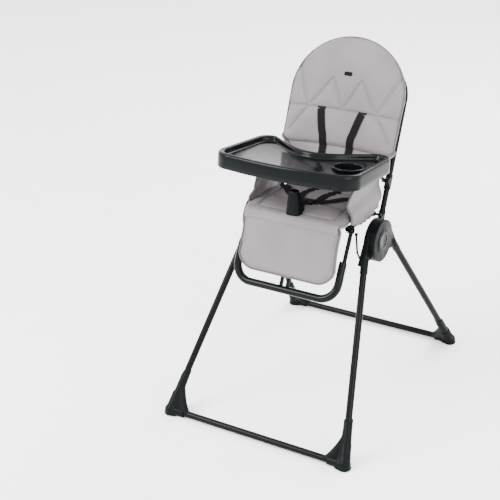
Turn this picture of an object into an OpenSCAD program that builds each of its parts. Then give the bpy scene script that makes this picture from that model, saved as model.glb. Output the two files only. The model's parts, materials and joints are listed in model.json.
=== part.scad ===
// Folding baby high chair: two X-crossed leg frames turn on a pair of hubs, and the
// seat unit (backrest, seat, leg rest and tray) turns down between them as it folds.
// X is across the chair, the child faces -Y, the floor is Z = 0.

/* [Overall] */
// Height of the hub axis above the floor
hub_z = 522; // [515:1:535]
// Half spread of the feet, leg centre to chair centre
foot_x = 291; // [286:1:300]
// Half angle between a leg frame and upright when the chair is open
leg_open = 33.4; // [32.5:0.1:34.5]
// Length of the backrest along its own slope, from the hub
back_len = 572; // [550:1:580]

/* [Hubs and tubes] */
// Diameter of the hub discs
hub_d = 124; // [120:1:128]
// Thickness of one hub disc
hub_t = 17; // [15:0.5:17]
// Outer diameter of the leg and floor tubes
leg_d = 20; // [18:0.5:20.5]
// Wall of the steel tubes
tube_wall = 1.2; // [1:0.1:2]
// Outer diameter of the backrest tube
back_d = 17; // [15:0.5:17.5]
// Outer diameter of the seat rails
rail_d = 14; // [12:0.5:14]
// Diameter of the release button on each hub
button_d = 55; // [45:1:58]

/* [Seat and backrest] */
// Half width of the seat cushion
seat_hw = 160; // [150:1:161]
// Thickness of the seat cushion
seat_t = 19; // [14:1:22]
// Half width of the backrest at its widest
back_hw = 184; // [170:1:186]
// Thickness of the backrest cushion
back_t = 20; // [16:1:22]
// Half width of the leg rest cushion
leg_hw = 151; // [136:1:152]
// Thickness of the leg rest cushion
leg_t = 24; // [16:1:26]
// Height of the crotch post above the cushion
post_h = 72; // [58:1:73]

/* [Tray] */
// Half width of the tray
tray_hw = 222; // [205:1:223]
// Depth of the tray from its rear corners to its front edge
tray_len = 307; // [285:1:308]
// Depth of the hollow in the rear edge
tray_hollow = 100; // [70:1:106]
// Height of the tray's outer wall
tray_h = 44; // [36:1:46]
// Inside diameter of the cup holder
cup_d = 78; // [60:1:80]

/* [Hidden] */
$fn = 48;
eps = 0.01;
plastic = [0.10, 0.12, 0.12];
steel = [0.08, 0.09, 0.09];
zinc = [0.6, 0.6, 0.62];
cloth = [0.70, 0.67, 0.69];
webbing = [0.13, 0.12, 0.13];

hub_r = hub_d / 2;
leg_r = leg_d / 2;
back_r = back_d / 2;
rail_r = rail_d / 2;
foot_r = 6;                     // thin upper tubes of the foot rest
sleeve_wall = 1.6;
gap = 0.3;                      // clearance between soft parts and their neighbours

// Lanes across the chair, from the seat outwards, at hub height
rail_x = 153;
foot_tube_x = 167;
back_x = 172;
plate_x0 = 171.5;               // back bracket plate
plate_x1 = 182.5;
front_x0 = 183.5;               // inner hub disc, on the front legs
rear_x0 = front_x0 + hub_t + 0.5; // outer hub disc, on the rear legs
front_leg_x = 195;              // leg tube centres where they enter the hubs
rear_leg_x = 210;
pin_r = 8;
pin_x1 = rear_x0 + 3;
button_x0 = rear_x0 + hub_t - 4.5;
button_t = 6.5;

// One leg, drawn hanging down beside the hub axis, then swung open
leg_off = 46;                   // leg centre line to hub axis
neck_z = -105;                  // lower end of the hub's flat neck
neck_long = 50;                 // leg socket, along the leg
floor_z = 13;                   // floor bar centre above the floor
leg_end = ((hub_z - floor_z) + leg_off * sin(leg_open)) / cos(leg_open);
foot_y = leg_off * cos(leg_open) + leg_end * sin(leg_open);
foot_up = 112;                  // foot moulding up the leg
foot_in = 50;                   // foot moulding along the floor bar
bar_end = foot_x - leg_r - 10;  // end of the floor bar inside the foot

// Backrest frame: u runs up the slope, v runs backwards
back_lean = 65.2;
tube_v = 62;
cushion_v = 46;                 // rear face of the backrest cushion
board_t = 4;
back_u0 = 261;                  // lower edge of the backrest cushion
hinge_u = 172;                  // tray arm hinge
hinge_v = 44;
arm_x = 165;

// Seat, relative to the hub axis: seat pivot and knee pivot
seat_y = 65;
seat_dz = 48;
knee_y = -105;
knee_dz = 66;
seat_z = hub_z + 76;            // underside of the seat cushion
seat_y0 = -147;
seat_y1 = 52;
post_y0 = -152;
post_len = 52;                  // depth of the post at its foot

// Leg rest frame: w runs down from the knee pivot to the foot bar
foot_tilt = 241.4;
foot_w = 208;
sleeve_w = 92;                  // where the moulded sleeve starts
sleeve_r = 11.5;
corner_r = 52;
pad_tilt = 250.6;
pad_len = 156;

// Tray frame: origin in the middle of the line between the rear corners
tray_tilt = 7.7;
tray_y = 68;
tray_dz = 214;
wall = 3;

// ---------------------------------------------------------------- helpers

// A round bar between two points
module bar(p, q, r, extra = 0) {
    v = q - p;
    long = norm(v);
    translate(p)
        rotate([0, acos(v.z / long), atan2(v.y, v.x)])
            translate([0, 0, -extra])
                cylinder(r = r, h = long + 2 * extra);
}

// A round tube between two points, open at both ends
module tube(p, q, r, wall_t) {
    difference() {
        bar(p, q, r);
        bar(p, q, r - wall_t, 1);
    }
}

// Cross-section of a tube
module ring(r, wall_t) {
    difference() {
        circle(r = r);
        circle(r = r - wall_t);
    }
}

// A flat plate drawn in the side view (Y, Z), from x0 to x1
module side_plate(x0, x1) {
    translate([x0, 0, 0])
        rotate([90, 0, 90])
            linear_extrude(height = x1 - x0)
                children();
}

// A disc across the chair
module disc(x0, x1, r) {
    translate([x0, 0, 0])
        rotate([0, 90, 0])
            cylinder(r = r, h = x1 - x0);
}

// The left piece is the mirror image of the right one
module left() {
    mirror([1, 0, 0])
        children();
}

module both_sides() {
    children();
    left()
        children();
}

module at_hub() {
    translate([0, 0, hub_z])
        children();
}

module front_frame() {
    at_hub()
        rotate([-leg_open, 0, 0])
            mirror([0, 1, 0])
                children();
}

module rear_frame() {
    at_hub()
        rotate([leg_open, 0, 0])
            children();
}

// Backrest frame: X across, Y backwards (v), Z up the slope (u)
module back_frame() {
    at_hub()
        rotate([back_lean - 90, 0, 0])
            children();
}

// Leg rest frame: Y forwards of the plane, Z points back up to the knee
module foot_frame() {
    translate([0, knee_y, hub_z + knee_dz])
        rotate([foot_tilt - 270, 0, 0])
            children();
}

module pad_frame() {
    translate([0, knee_y - 35, hub_z + knee_dz + 6])
        rotate([pad_tilt - 270, 0, 0])
            children();
}

module tray_frame() {
    translate([0, tray_y, hub_z + tray_dz])
        rotate([-tray_tilt, 0, 0])
            children();
}

// ---------------------------------------------------------------- leg frames

// A leg runs straight from the socket in its hub to the foot, splayed outwards
leg_top_z = -60;
function leg_foot() = [foot_x, leg_off, -leg_end];
function leg_top(x) = [x, leg_off, leg_top_z];
function leg_dir(x) = (leg_foot() - leg_top(x)) / norm(leg_foot() - leg_top(x));

module leg_tube(x) {
    color(steel)
        tube(leg_top(x), leg_foot() - leg_dir(x) * (leg_r + 6), leg_r, tube_wall);
}

module floor_bar() {
    color(steel)
        tube([-bar_end, foot_y, floor_z], [bar_end, foot_y, floor_z],
            leg_r, tube_wall);
}

// World position of a point on the rear right leg, along its length from the foot
function leg_world(s, x) =
    let (p = leg_foot() - leg_dir(x) * s)
    [p.x, p.y * cos(leg_open) - p.z * sin(leg_open),
        hub_z + p.y * sin(leg_open) + p.z * cos(leg_open)];

// Foot moulding: sockets for the leg and the floor bar, and a flat sole
module foot_shell(x) {
    corner = leg_world(0, x);
    collar = leg_world(foot_up, x);
    inner = [foot_x - foot_in, foot_y, floor_z];
    color(plastic)
        difference() {
            union() {
                bar(corner, collar, leg_r + 3);
                bar(corner, leg_world(foot_up * 0.5, x), leg_r + 6);
                translate(corner)
                    sphere(r = leg_r + 9);
                bar(corner, inner, leg_r + 4);
                translate([corner.x, corner.y, 2])
                    cylinder(r1 = leg_r + 10, r2 = leg_r + 8, h = floor_z);
            }
            bar(leg_world(leg_r + 5, x), leg_world(foot_up + 5, x), leg_r + 0.05);
            bar([bar_end + 1, foot_y, floor_z], inner - [5, 0, 0], leg_r + 0.05);
            translate([0, 0, -40])
                cube([2 * corner.x + 90, 2 * corner.y + 90, 84], center = true);
        }
}

// Rubber soles under the two feet of one frame
module foot_pads() {
    color(webbing)
        both_sides()
            translate([foot_x, foot_y, 0])
                cylinder(r = leg_r + 8, h = 2);
}

// Side view of a hub moulding: disc, neck and the web between them
module hub_outline() {
    neck_in = leg_off - leg_r - 1.5;
    circle(r = hub_r);
    difference() {
        translate([neck_in - 30, neck_z + 14])
            square([hub_r - neck_in + 28, -neck_z - 14]);
        translate([neck_in - 30, neck_z + 14])
            circle(r = 30);
        translate([leg_off + leg_r + 1.5, neck_z + 10])
            square([20, -neck_z]);
    }
    translate([0, -30])
        square([leg_off + leg_r + 1.5, 30]);
}

// Hub moulding on a leg frame, with its axle bore and the socket for the leg tube
module hub_shell(x0, leg_x) {
    difference() {
        union() {
            side_plate(x0, x0 + hub_t)
                hub_outline();
            bar(leg_top(leg_x) + leg_dir(leg_x) * 7, leg_top(leg_x) + leg_dir(leg_x) * neck_long,
                leg_r + 1.5);
        }
        disc(x0 - 1, x0 + hub_t + 1, pin_r + 0.05);
        bar(leg_top(leg_x), leg_top(leg_x) + leg_dir(leg_x) * (neck_long + 1), leg_r + 0.05, 1);
    }
}

module front_hub() {
    color(plastic)
        front_frame()
            difference() {
                union() {
                    hub_shell(front_x0, front_leg_x);
                    // lug that carries the fold link
                    side_plate(front_x0, front_x0 + 7)
                        polygon([[link_lug.x - 9, -40], [link_lug.x - 9, link_lug.y - 2],
                            [link_lug.x - 5, link_lug.y - 8], [link_lug.x + 5, link_lug.y - 8],
                            [link_lug.x + 12, link_lug.y - 2], [link_lug.x + 12, -40]]);
                }
                translate([0, link_lug.x, link_lug.y])
                    disc(front_x0 - 1, front_x0 + 9, 2.55);
            }
}

module rear_hub() {
    color(plastic)
        rear_frame()
            difference() {
                union() {
                    hub_shell(rear_x0, rear_leg_x);
                    // raised ring round the release button
                    disc(rear_x0 + hub_t - eps, rear_x0 + hub_t + 1.5, button_d / 2 + 7);
                }
                disc(button_x0 - 5, rear_x0 + hub_t + 4, button_d / 2 + 0.4);
            }
}

module hub_pins() {
    color(zinc)
        both_sides()
            at_hub() {
                disc(plate_x0 - 3, pin_x1, pin_r);
                disc(plate_x0 - 6, plate_x0 - 1, pin_r + 4);
            }
}

module hub_button() {
    color(plastic)
        at_hub()
            difference() {
                union() {
                    disc(button_x0, button_x0 + button_t, button_d / 2);
                    disc(pin_x1 + 5, button_x0 + eps, 5);
                }
                disc(button_x0 + button_t - 1, button_x0 + button_t + 1, button_d / 2 - 7);
            }
}

// Curved rod from the front leg's hub up to the seat's front bracket
link_lug = [15.4, -80.8];
link_x = 178;
function lug_world() = [link_x,
    -link_lug.x * cos(leg_open) + link_lug.y * sin(leg_open),
    hub_z + link_lug.x * sin(leg_open) + link_lug.y * cos(leg_open)];
link_top = [link_x, knee_y + 8, hub_z + knee_dz - 14];
module fold_link() {
    low = lug_world();
    mid = [link_x, (low.y + link_top.y) / 2 - 12, (low.z + link_top.z) / 2 - 4];
    color(steel) {
        union() {
            bar(low, mid, 3);
            translate(mid)
                sphere(r = 3.6);
            bar(mid, link_top, 3);
            translate([0, low.y, low.z]) {
                disc(link_x - 3.4, link_x + 3.4, 6);
                disc(link_x, front_x0 + 5, 2.5);
            }
            translate([0, link_top.y, link_top.z])
                disc(link_x - 3.4, link_x + 3.4, 5);
        }
    }
}

// ---------------------------------------------------------------- backrest

// Moulded bracket from the hub pin to the lower end of the backrest tube
module back_bracket() {
    color(plastic)
        back_frame()
            difference() {
                union() {
                    disc(plate_x0, plate_x1, 26);
                    side_plate(plate_x0, plate_x1)
                        polygon([[4, -25], [tube_v - 6, 26], [tube_v - 6, 78], [-8, 22]]);
                    bar([back_x, tube_v, 26], [back_x, tube_v, 84], back_r + 1.8);
                }
                disc(plate_x0 - 1, plate_x1 + 1, pin_r + 0.05);
                bar([back_x, tube_v, 32], [back_x, tube_v, 90], back_r + 0.05);
                seat_pivot_in_back()
                    disc(plate_x0 - 20, plate_x1 + 1, 4.05);
            }
}

// The seat pivot seen from the backrest frame
seat_u = seat_y * cos(back_lean) + seat_dz * sin(back_lean);
seat_v = seat_y * sin(back_lean) - seat_dz * cos(back_lean);
module seat_pivot_in_back() {
    translate([0, seat_v, seat_u])
        children();
}

top_r = 96;                     // bend radius at the top corners of the backrest tube
top_u = back_len - 66;          // top of the straight upright
module back_tube() {
    color(steel)
        back_frame()
            tube([back_x, tube_v, 34], [back_x, tube_v, top_u - top_r], back_r, tube_wall);
}

module back_tube_top() {
    color(steel)
        back_frame() {
            both_sides()
                translate([back_x - top_r, tube_v, top_u - top_r])
                    rotate([90, 0, 0])
                        rotate_extrude(angle = 90)
                            translate([top_r, 0])
                                ring(back_r, tube_wall);
            translate([0, tube_v, top_u])
                rotate([0, 90, 0])
                    linear_extrude(height = 2 * (back_x - top_r), center = true)
                        ring(back_r, tube_wall);
        }
}

// Outline of the backrest: straight lower sides and a wide rounded head
function back_half(hw, top, bottom) = [
    [hw * 0.86, bottom],
    [hw * 0.98, bottom + 30],
    for (a = [0:9:90]) [hw * cos(a), top - 172 + 172 * sin(a)]
];
module back_outline(inset) {
    hw = back_hw - inset;
    right = back_half(hw, back_len - inset, back_u0 + inset);
    n = len(right);
    polygon(concat(right, [for (i = [n - 2:-1:0]) [-right[i].x, right[i].y]]));
}

module back_slab(v0, v1, inset) {
    back_frame()
        translate([0, v1, 0])
            rotate([90, 0, 0])
                linear_extrude(height = v1 - v0)
                    back_outline(inset);
}

module back_board() {
    color(plastic)
        back_slab(cushion_v + gap, cushion_v + board_t, 8);
}

module back_cushion() {
    color(cloth)
        back_slab(cushion_v - back_t, cushion_v, 0);
}

module sewn_label() {
    color(webbing)
        back_frame()
            translate([-13, cushion_v - back_t - 1.2, back_len - 118])
                cube([26, 1, 12]);
}

module back_screws() {
    color(zinc)
        back_frame()
            both_sides()
                for (u = [300, 380])
                    translate([back_x, cushion_v + board_t + 0.1, u])
                        rotate([-90, 0, 0])
                            cylinder(r = 3, h = tube_v - back_r - cushion_v - board_t - 0.2);
}

// Clamp on the backrest tube that carries the tray arm's hinge
module tray_joint() {
    color(plastic)
        back_frame()
            difference() {
                union() {
                    bar([back_x, tube_v, hinge_u - 24], [back_x, tube_v, hinge_u + 20],
                        back_r + 2);
                    side_plate(back_x - 1, plate_x1 - 0.5)
                        polygon([[tube_v - 4, hinge_u - 20], [tube_v - 4, hinge_u + 14],
                            [hinge_v, hinge_u + 9], [hinge_v - 9, hinge_u],
                            [hinge_v, hinge_u - 9]]);
                }
                bar([back_x, tube_v, hinge_u - 30], [back_x, tube_v, hinge_u + 30],
                    back_r + 0.05);
                translate([0, hinge_v, hinge_u])
                    disc(back_x - 4, plate_x1 + 2, 3.05);
            }
}

// Slack fabric between the backrest cushion and the seat
module back_sling() {
    a = [cushion_v - 14, back_u0 - 5];
    low_y = seat_y1 + 18;
    color(cloth)
        at_hub()
            side_plate(-136, 136)
                polygon([[back_y(a) - 6, back_z(a) - 2], [back_y(a) + 2, back_z(a) + 1],
                    [low_y + 40, 170], [low_y + 8, 88], [low_y, 84], [low_y + 30, 168]]);
}
function back_y(p) = p[1] * cos(back_lean) + p[0] * sin(back_lean);
function back_z(p) = p[1] * sin(back_lean) - p[0] * cos(back_lean);

// Padded side wing between the backrest and the seat
wing_x = 147.5;
module side_wing() {
    color(cloth)
        at_hub()
            side_plate(wing_x, wing_x + 8)
                polygon([[-96, 97], [66, 97], [112, 205], [84, 203], [62, 184], [-40, 176],
                    [-92, 150]]);
}

// ---------------------------------------------------------------- harness

strap_x = 67;
strap_u = 352;
module strap_adjusters() {
    color(plastic)
        back_frame()
            both_sides()
                translate([strap_x, cushion_v - back_t - 3.4, strap_u])
                    cube([28, 6, 22], center = true);
}

// Shoulder strap: down the cushion, over the slack fabric, then along the seat
module shoulder_strap() {
    front_v = cushion_v - back_t - 2;
    top = [strap_x, back_y([front_v, strap_u - 14]), hub_z + back_z([front_v, strap_u - 14])];
    edge = [strap_x - 14, back_y([front_v, back_u0]), hub_z + back_z([front_v, back_u0])];
    low = [36, 30, seat_z + seat_t + 6];
    color(webbing) {
        strap_run(top, edge);
        strap_run(edge, low);
        strap_run(low, [28, -46, seat_z + seat_t + 6]);
    }
}

module strap_run(p, q) {
    v = q - p;
    long = norm(v);
    translate((p + q) / 2)
        rotate([atan2(-v.y, v.z), 0, 0])
            rotate([0, asin(v.x / long), 0])
                cube([24, 1.8, long - 2], center = true);
}

module lap_strap() {
    color(webbing) {
        both_sides()
            strap_run([seat_hw - 34, 32, seat_z + seat_t + 4], [42, -60, seat_z + seat_t + 3]);
        translate([-12, post_y0 + post_len + 1, seat_z + seat_t + 2])
            cube([24, 20, 1.8]);
    }
}

module buckle() {
    color(plastic)
        translate([0, -64, seat_z + seat_t + 9])
            difference() {
                cube([52, 30, 13], center = true);
                translate([0, 0, 3])
                    cylinder(r = 9.2, h = 10);
            }
}

module buckle_button() {
    color(plastic)
        translate([0, -64, seat_z + seat_t + 9 + 4.5])
            cylinder(r = 8.8, h = 4);
}

// ---------------------------------------------------------------- seat

module seat_rail() {
    p = [rail_x, seat_y, hub_z + seat_dz];
    q = [rail_x, knee_y, hub_z + knee_dz];
    color(steel)
        union() {
            tube(p, q, rail_r, tube_wall);
            translate([0, p.y, p.z])
                disc(rail_x - 6, rail_x + rail_r, 8);
            translate([0, p.y, p.z])
                disc(rail_x, plate_x1 - 2, 4);
        }
}

module seat_cross_tube() {
    color(steel)
        tube([-rail_x + rail_r + 0.5, knee_y + 28, hub_z + knee_dz - 6],
            [rail_x - rail_r - 0.5, knee_y + 28, hub_z + knee_dz - 6], 6, tube_wall);
}

module seat_board() {
    color(plastic)
        translate([-rail_x + rail_r + 2, seat_y0 + 34, seat_z - 5])
            cube([2 * (rail_x - rail_r - 2), seat_y1 - seat_y0 - 34, 5 - gap]);
}

module seat_cushion() {
    color(cloth)
        translate([0, 0, seat_z])
            linear_extrude(height = seat_t)
                polygon([[-seat_hw, seat_y0], [seat_hw, seat_y0], [seat_hw, 4],
                    [seat_hw - 19, seat_y1], [-seat_hw + 19, seat_y1], [-seat_hw, 4]]);
}

// Tapered post between the child's legs, with its rounded cap
post_z = seat_z + seat_t;
module crotch_post() {
    top = post_h - 8;
    color(plastic)
        translate([0, post_y0, post_z])
            intersection() {
                rotate([90, 0, 90])
                    linear_extrude(height = 60, center = true)
                        polygon([[0, 0], [post_len, 0], [31, top], [7, top]]);
                rotate([90, 0, 0])
                    linear_extrude(height = 120, center = true)
                        polygon([[-23, 0], [23, 0], [15, top], [-15, top]]);
            }
}

module post_cap() {
    w = 24;
    color(steel)
        translate([0, post_y0 + 7 + w / 2, post_z + post_h - 8])
            rotate([0, 90, 0])
                difference() {
                    translate([0, 0, -14])
                        cylinder(r = w / 2, h = 28);
                    translate([0, -w, -20])
                        cube([w, 2 * w, 40]);
                }
}

// Brackets at the front of the seat rails that carry the knee pivot
module knee_brackets() {
    color(plastic)
        both_sides()
            translate([0, knee_y, hub_z + knee_dz])
                difference() {
                    union() {
                        disc(rail_x + 1, rail_x + rail_r + 0.8, 9.4);
                        disc(rail_x + rail_r, foot_tube_x + foot_r - 2, 4);
                    }
                    bar([rail_x, seat_y - knee_y, seat_dz - knee_dz], [rail_x, 0, 0],
                        rail_r + 0.05, 12);
                }
}

// ---------------------------------------------------------------- leg rest

module foot_tube() {
    color(steel)
        foot_frame()
            difference() {
                union() {
                    tube([foot_tube_x, 0, -7], [foot_tube_x, 0, -sleeve_w - 22], foot_r, tube_wall);
                    disc(foot_tube_x - foot_r + 0.5, foot_tube_x + foot_r + 0.5, 9);
                }
                disc(foot_tube_x - foot_r - 1, foot_tube_x + foot_r + 2, 4.05);
            }
}

// Moulded sleeve: a wide U from side to side round the foot bar
module foot_sleeve() {
    bend_x = foot_tube_x - corner_r;
    low = -foot_w;
    color(plastic)
        foot_frame()
            difference() {
                union() {
                    both_sides() {
                        bar([foot_tube_x - 3, 0, -sleeve_w], [foot_tube_x - 3, 0, low + corner_r],
                            sleeve_r);
                        translate([bend_x - 3, 0, low + corner_r])
                            rotate([90, 0, 0])
                                mirror([0, 1, 0])
                                    rotate_extrude(angle = 90)
                                        translate([corner_r, 0])
                                            circle(r = sleeve_r);
                    }
                    bar([-bend_x + 3, 0, low], [bend_x - 3, 0, low], sleeve_r);
                }
                both_sides()
                    bar([foot_tube_x, 0, -sleeve_w + 1], [foot_tube_x, 0, -sleeve_w - 22.2],
                        foot_r + 0.05);
            }
}

module leg_cushion() {
    taper = 14;
    color(cloth)
        pad_frame()
            translate([0, leg_t / 2, 0])
                rotate([90, 0, 0])
                    linear_extrude(height = leg_t)
                        polygon([[-leg_hw, 0], [leg_hw, 0], [leg_hw, -pad_len + 46],
                            for (a = [0:15:90])
                                [leg_hw - taper - 40 + 54 * cos(a), -pad_len + 46 - 46 * sin(a)],
                            for (a = [90:-15:0])
                                [-leg_hw + taper + 40 - 54 * cos(a), -pad_len + 46 - 46 * sin(a)],
                            [-leg_hw, -pad_len + 46]]);
}

module leg_board() {
    color(plastic)
        pad_frame()
            translate([-leg_hw + 20, leg_t / 2 + gap, -pad_len + 30])
                cube([2 * (leg_hw - 20), 3, pad_len - 40]);
}

module foot_struts() {
    color(plastic)
        both_sides()
            foot_frame()
                difference() {
                    translate([6, -4, -foot_w + 2])
                        cube([9, 8, 41]);
                    bar([-20, 0, -foot_w], [40, 0, -foot_w], sleeve_r + 0.05);
                }
}

// ---------------------------------------------------------------- tray

// Outline of the tray: bowed front, rounded corners and a hollow rear edge
function arc(cx, cy, r, a0, a1, n) = [
    for (i = [0:n]) let (a = a0 + (a1 - a0) * i / n) [cx + r * cos(a), cy + r * sin(a)]
];
module tray_outline(inset) {
    hw = tray_hw - inset;
    rf = 58 - inset * 0.6;
    rr = 40 - inset * 0.4;
    bow = 16;
    y0 = -tray_len + inset + bow;
    front = [for (i = [-8:8]) let (x = (hw - rf) * i / 8) [x, y0 - bow * (1 - pow(i / 8, 2))]];
    right = concat(arc(hw - rf, y0 + rf, rf, -80, 0, 7), arc(hw - 6 - rr, -inset - rr, rr, 0, 90, 7));
    span = hw - 6 - rr;
    rear = [for (i = [11:-1:-11]) let (x = span * i / 12)
        [x, -inset - tray_hollow * pow(cos(90 * i / 12), 1.2)]];
    left_side = [for (i = [len(right) - 1:-1:0]) [-right[i].x, right[i].y]];
    polygon(concat(front, right, rear, left_side));
}

cup_x = 142;
cup_y = -150;
module tray_shell() {
    floor_top = tray_h - 16;
    color(plastic)
        tray_frame()
            translate([0, 0, -tray_h / 2])
                difference() {
                    union() {
                        difference() {
                            linear_extrude(height = tray_h)
                                tray_outline(0);
                            translate([0, 0, floor_top])
                                linear_extrude(height = 20)
                                    tray_outline(16);
                            translate([0, 0, -1])
                                linear_extrude(height = floor_top - wall + 1)
                                    tray_outline(wall);
                        }
                        translate([cup_x, cup_y, 4])
                            cylinder(r = cup_d / 2 + 2.5, h = floor_top - 4);
                        translate([cup_x, cup_y, floor_top - 1])
                            cylinder(r = cup_d / 2 + 7, h = 7);
                    }
                    translate([cup_x, cup_y, 7])
                        cylinder(r = cup_d / 2, h = 60);
                    // slots in the rear wall for the arms
                    both_sides()
                        translate([arm_x - 12, -48, -1])
                            cube([38, 60, tray_h / 2 - 2]);
                }
}

// Two arms that hold the tray, joined by a bar behind its front wall
arm_out = 195;                  // arms spread past the cup holder under the tray
module tray_arms() {
    h = [back_y([hinge_v, hinge_u]), back_z([hinge_v, hinge_u])];
    start = [arm_x, h[0], hub_z + h[1]];
    points = [start, tray_point(arm_x, -34), tray_point(arm_out, -76),
        tray_point(arm_out, -tray_len + 62)];
    color(steel)
        both_sides()
            union() {
                for (i = [0:2])
                    bar(points[i], points[i + 1], 5);
                for (i = [1:2])
                    translate(points[i])
                        rotate([-tray_tilt, 0, 0])
                            cylinder(r = 8, h = 12, center = true);
                translate([0, start.y, start.z]) {
                    disc(arm_x - 5.4, arm_x + 5.4, 6.4);
                    disc(arm_x, plate_x1 - 1, 3);
                }
            }
}
function tray_point(x, y) = [x, tray_y + y * cos(tray_tilt) - 9 * sin(tray_tilt),
    hub_z + tray_dz - y * sin(tray_tilt) - 9 * cos(tray_tilt)];

// Lever under each side of the tray that frees it from the arm
module tray_lever() {
    color(plastic)
        tray_frame()
            translate([tray_hw - wall - 22, -150, -tray_h / 2 + 0.5])
                cube([14, 62, 5.5]);
}

front_frame() leg_tube(front_leg_x);  // front_leg_right
left() front_frame() leg_tube(front_leg_x);  // front_leg_left
mirror([0, 1, 0]) floor_bar();  // front_floor_bar
mirror([0, 1, 0]) foot_shell(front_leg_x);  // front_foot_right
left() mirror([0, 1, 0]) foot_shell(front_leg_x);  // front_foot_left
front_hub();  // front_hub_right
left() front_hub();  // front_hub_left
hub_pins();
mirror([0, 1, 0]) foot_pads();  // front_foot_pads
rear_frame() leg_tube(rear_leg_x);  // rear_leg_right
left() rear_frame() leg_tube(rear_leg_x);  // rear_leg_left
floor_bar();  // rear_floor_bar
foot_shell(rear_leg_x);  // rear_foot_right
left() foot_shell(rear_leg_x);  // rear_foot_left
rear_hub();  // rear_hub_right
left() rear_hub();  // rear_hub_left
foot_pads();  // rear_foot_pads
hub_button();  // hub_button_right
left() hub_button();  // hub_button_left
fold_link();  // fold_link_right
left() fold_link();  // fold_link_left
back_bracket();  // back_bracket_right
left() back_bracket();  // back_bracket_left
back_tube();  // back_tube_right
left() back_tube();  // back_tube_left
back_tube_top();
back_board();
back_cushion();
tray_joint();  // tray_joint_right
left() tray_joint();  // tray_joint_left
back_screws();
strap_adjusters();
shoulder_strap();  // shoulder_strap_right
left() shoulder_strap();  // shoulder_strap_left
sewn_label();
back_sling();
side_wing();  // side_wing_right
left() side_wing();  // side_wing_left
seat_rail();  // seat_rail_right
left() seat_rail();  // seat_rail_left
seat_cross_tube();
seat_board();
seat_cushion();
crotch_post();
post_cap();
lap_strap();
buckle();
buckle_button();
knee_brackets();
foot_tube();  // foot_tube_right
left() foot_tube();  // foot_tube_left
foot_sleeve();
leg_cushion();
leg_board();
foot_struts();
tray_arms();
tray_shell();
tray_lever();  // tray_lever_right
left() tray_lever();  // tray_lever_left
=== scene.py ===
"""Finish of a folding baby high chair over its fixed frame.

Every length is in metres. X runs across the chair, the child faces -Y and the floor is Z = 0.
"""

import json
import logging
import math
from dataclasses import dataclass, field
from enum import Enum
from typing import Optional, Sequence

import bmesh
import bpy
import numpy as np
from mathutils import Matrix, Vector
from mathutils.bvhtree import BVHTree

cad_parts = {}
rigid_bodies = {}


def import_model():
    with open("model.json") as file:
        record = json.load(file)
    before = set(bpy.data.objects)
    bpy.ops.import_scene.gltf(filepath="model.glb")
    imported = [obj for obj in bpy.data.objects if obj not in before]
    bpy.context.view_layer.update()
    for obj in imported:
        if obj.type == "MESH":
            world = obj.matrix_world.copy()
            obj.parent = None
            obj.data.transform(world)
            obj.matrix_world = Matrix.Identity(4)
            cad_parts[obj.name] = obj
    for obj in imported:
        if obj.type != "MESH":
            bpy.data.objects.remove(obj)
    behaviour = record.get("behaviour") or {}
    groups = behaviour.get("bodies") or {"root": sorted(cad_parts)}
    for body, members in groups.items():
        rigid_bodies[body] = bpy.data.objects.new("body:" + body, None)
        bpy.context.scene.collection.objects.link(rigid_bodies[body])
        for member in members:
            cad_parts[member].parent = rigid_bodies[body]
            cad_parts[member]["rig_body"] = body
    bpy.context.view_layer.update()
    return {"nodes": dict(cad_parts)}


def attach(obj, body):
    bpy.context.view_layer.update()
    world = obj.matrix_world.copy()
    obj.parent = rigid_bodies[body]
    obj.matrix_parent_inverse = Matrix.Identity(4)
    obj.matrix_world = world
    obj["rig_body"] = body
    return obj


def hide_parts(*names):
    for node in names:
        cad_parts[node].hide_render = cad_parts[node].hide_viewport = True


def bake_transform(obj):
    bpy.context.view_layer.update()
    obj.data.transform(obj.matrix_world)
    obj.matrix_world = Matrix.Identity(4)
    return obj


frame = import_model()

log = logging.getLogger("high_chair")
Array = np.ndarray


class Slot(Enum):
    """The record's material slots."""

    TUBE = "black_tube"
    PLASTIC = "black_plastic"
    GLOSS = "gloss_black"
    COVER = "cover_fabric"
    WEBBING = "webbing"
    ZINC = "zinc_steel"
    RUBBER = "foot_rubber"


# ------------------------------------------------------------------ meshes


@dataclass(frozen=True)
class Placement:
    """A local frame that is turned about X and then moved: backrest, leg rest or tray."""

    origin: tuple[float, float, float]
    tilt: float

    def place(self, points: Array) -> Array:
        """Turns local points by the tilt about X and adds the origin.

        Args:
            points: local points, last axis of 3.

        Returns:
            The same points in the chair's frame.
        """
        c, s = math.cos(math.radians(self.tilt)), math.sin(math.radians(self.tilt))
        x, y, z = points[..., 0], points[..., 1], points[..., 2]
        return np.stack([x, y * c - z * s, y * s + z * c], -1) + np.array(self.origin)

    def local(self, points: Array) -> Array:
        """The reverse of place().

        Args:
            points: points in the chair's frame.

        Returns:
            The same points in this local frame.
        """
        c, s = math.cos(math.radians(self.tilt)), math.sin(math.radians(self.tilt))
        p = points - np.array(self.origin)
        x, y, z = p[..., 0], p[..., 1], p[..., 2]
        return np.stack([x, y * c + z * s, -y * s + z * c], -1)

    def turn(self, direction: Sequence[float]) -> Array:
        """A local direction in the chair's frame."""
        return self.place(np.array(direction, float)) - np.array(self.origin)


BACK = Placement((0, 0, 0.522), -24.8)
FOOT_REST = Placement((0, -0.105, 0.588), -28.6)
LEG_PAD = Placement((0, -0.143, 0.594), -19.4)
TRAY = Placement((0, 0.068, 0.736), -7.7)
LEVEL = Placement((0, 0, 0), 0.0)


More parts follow.
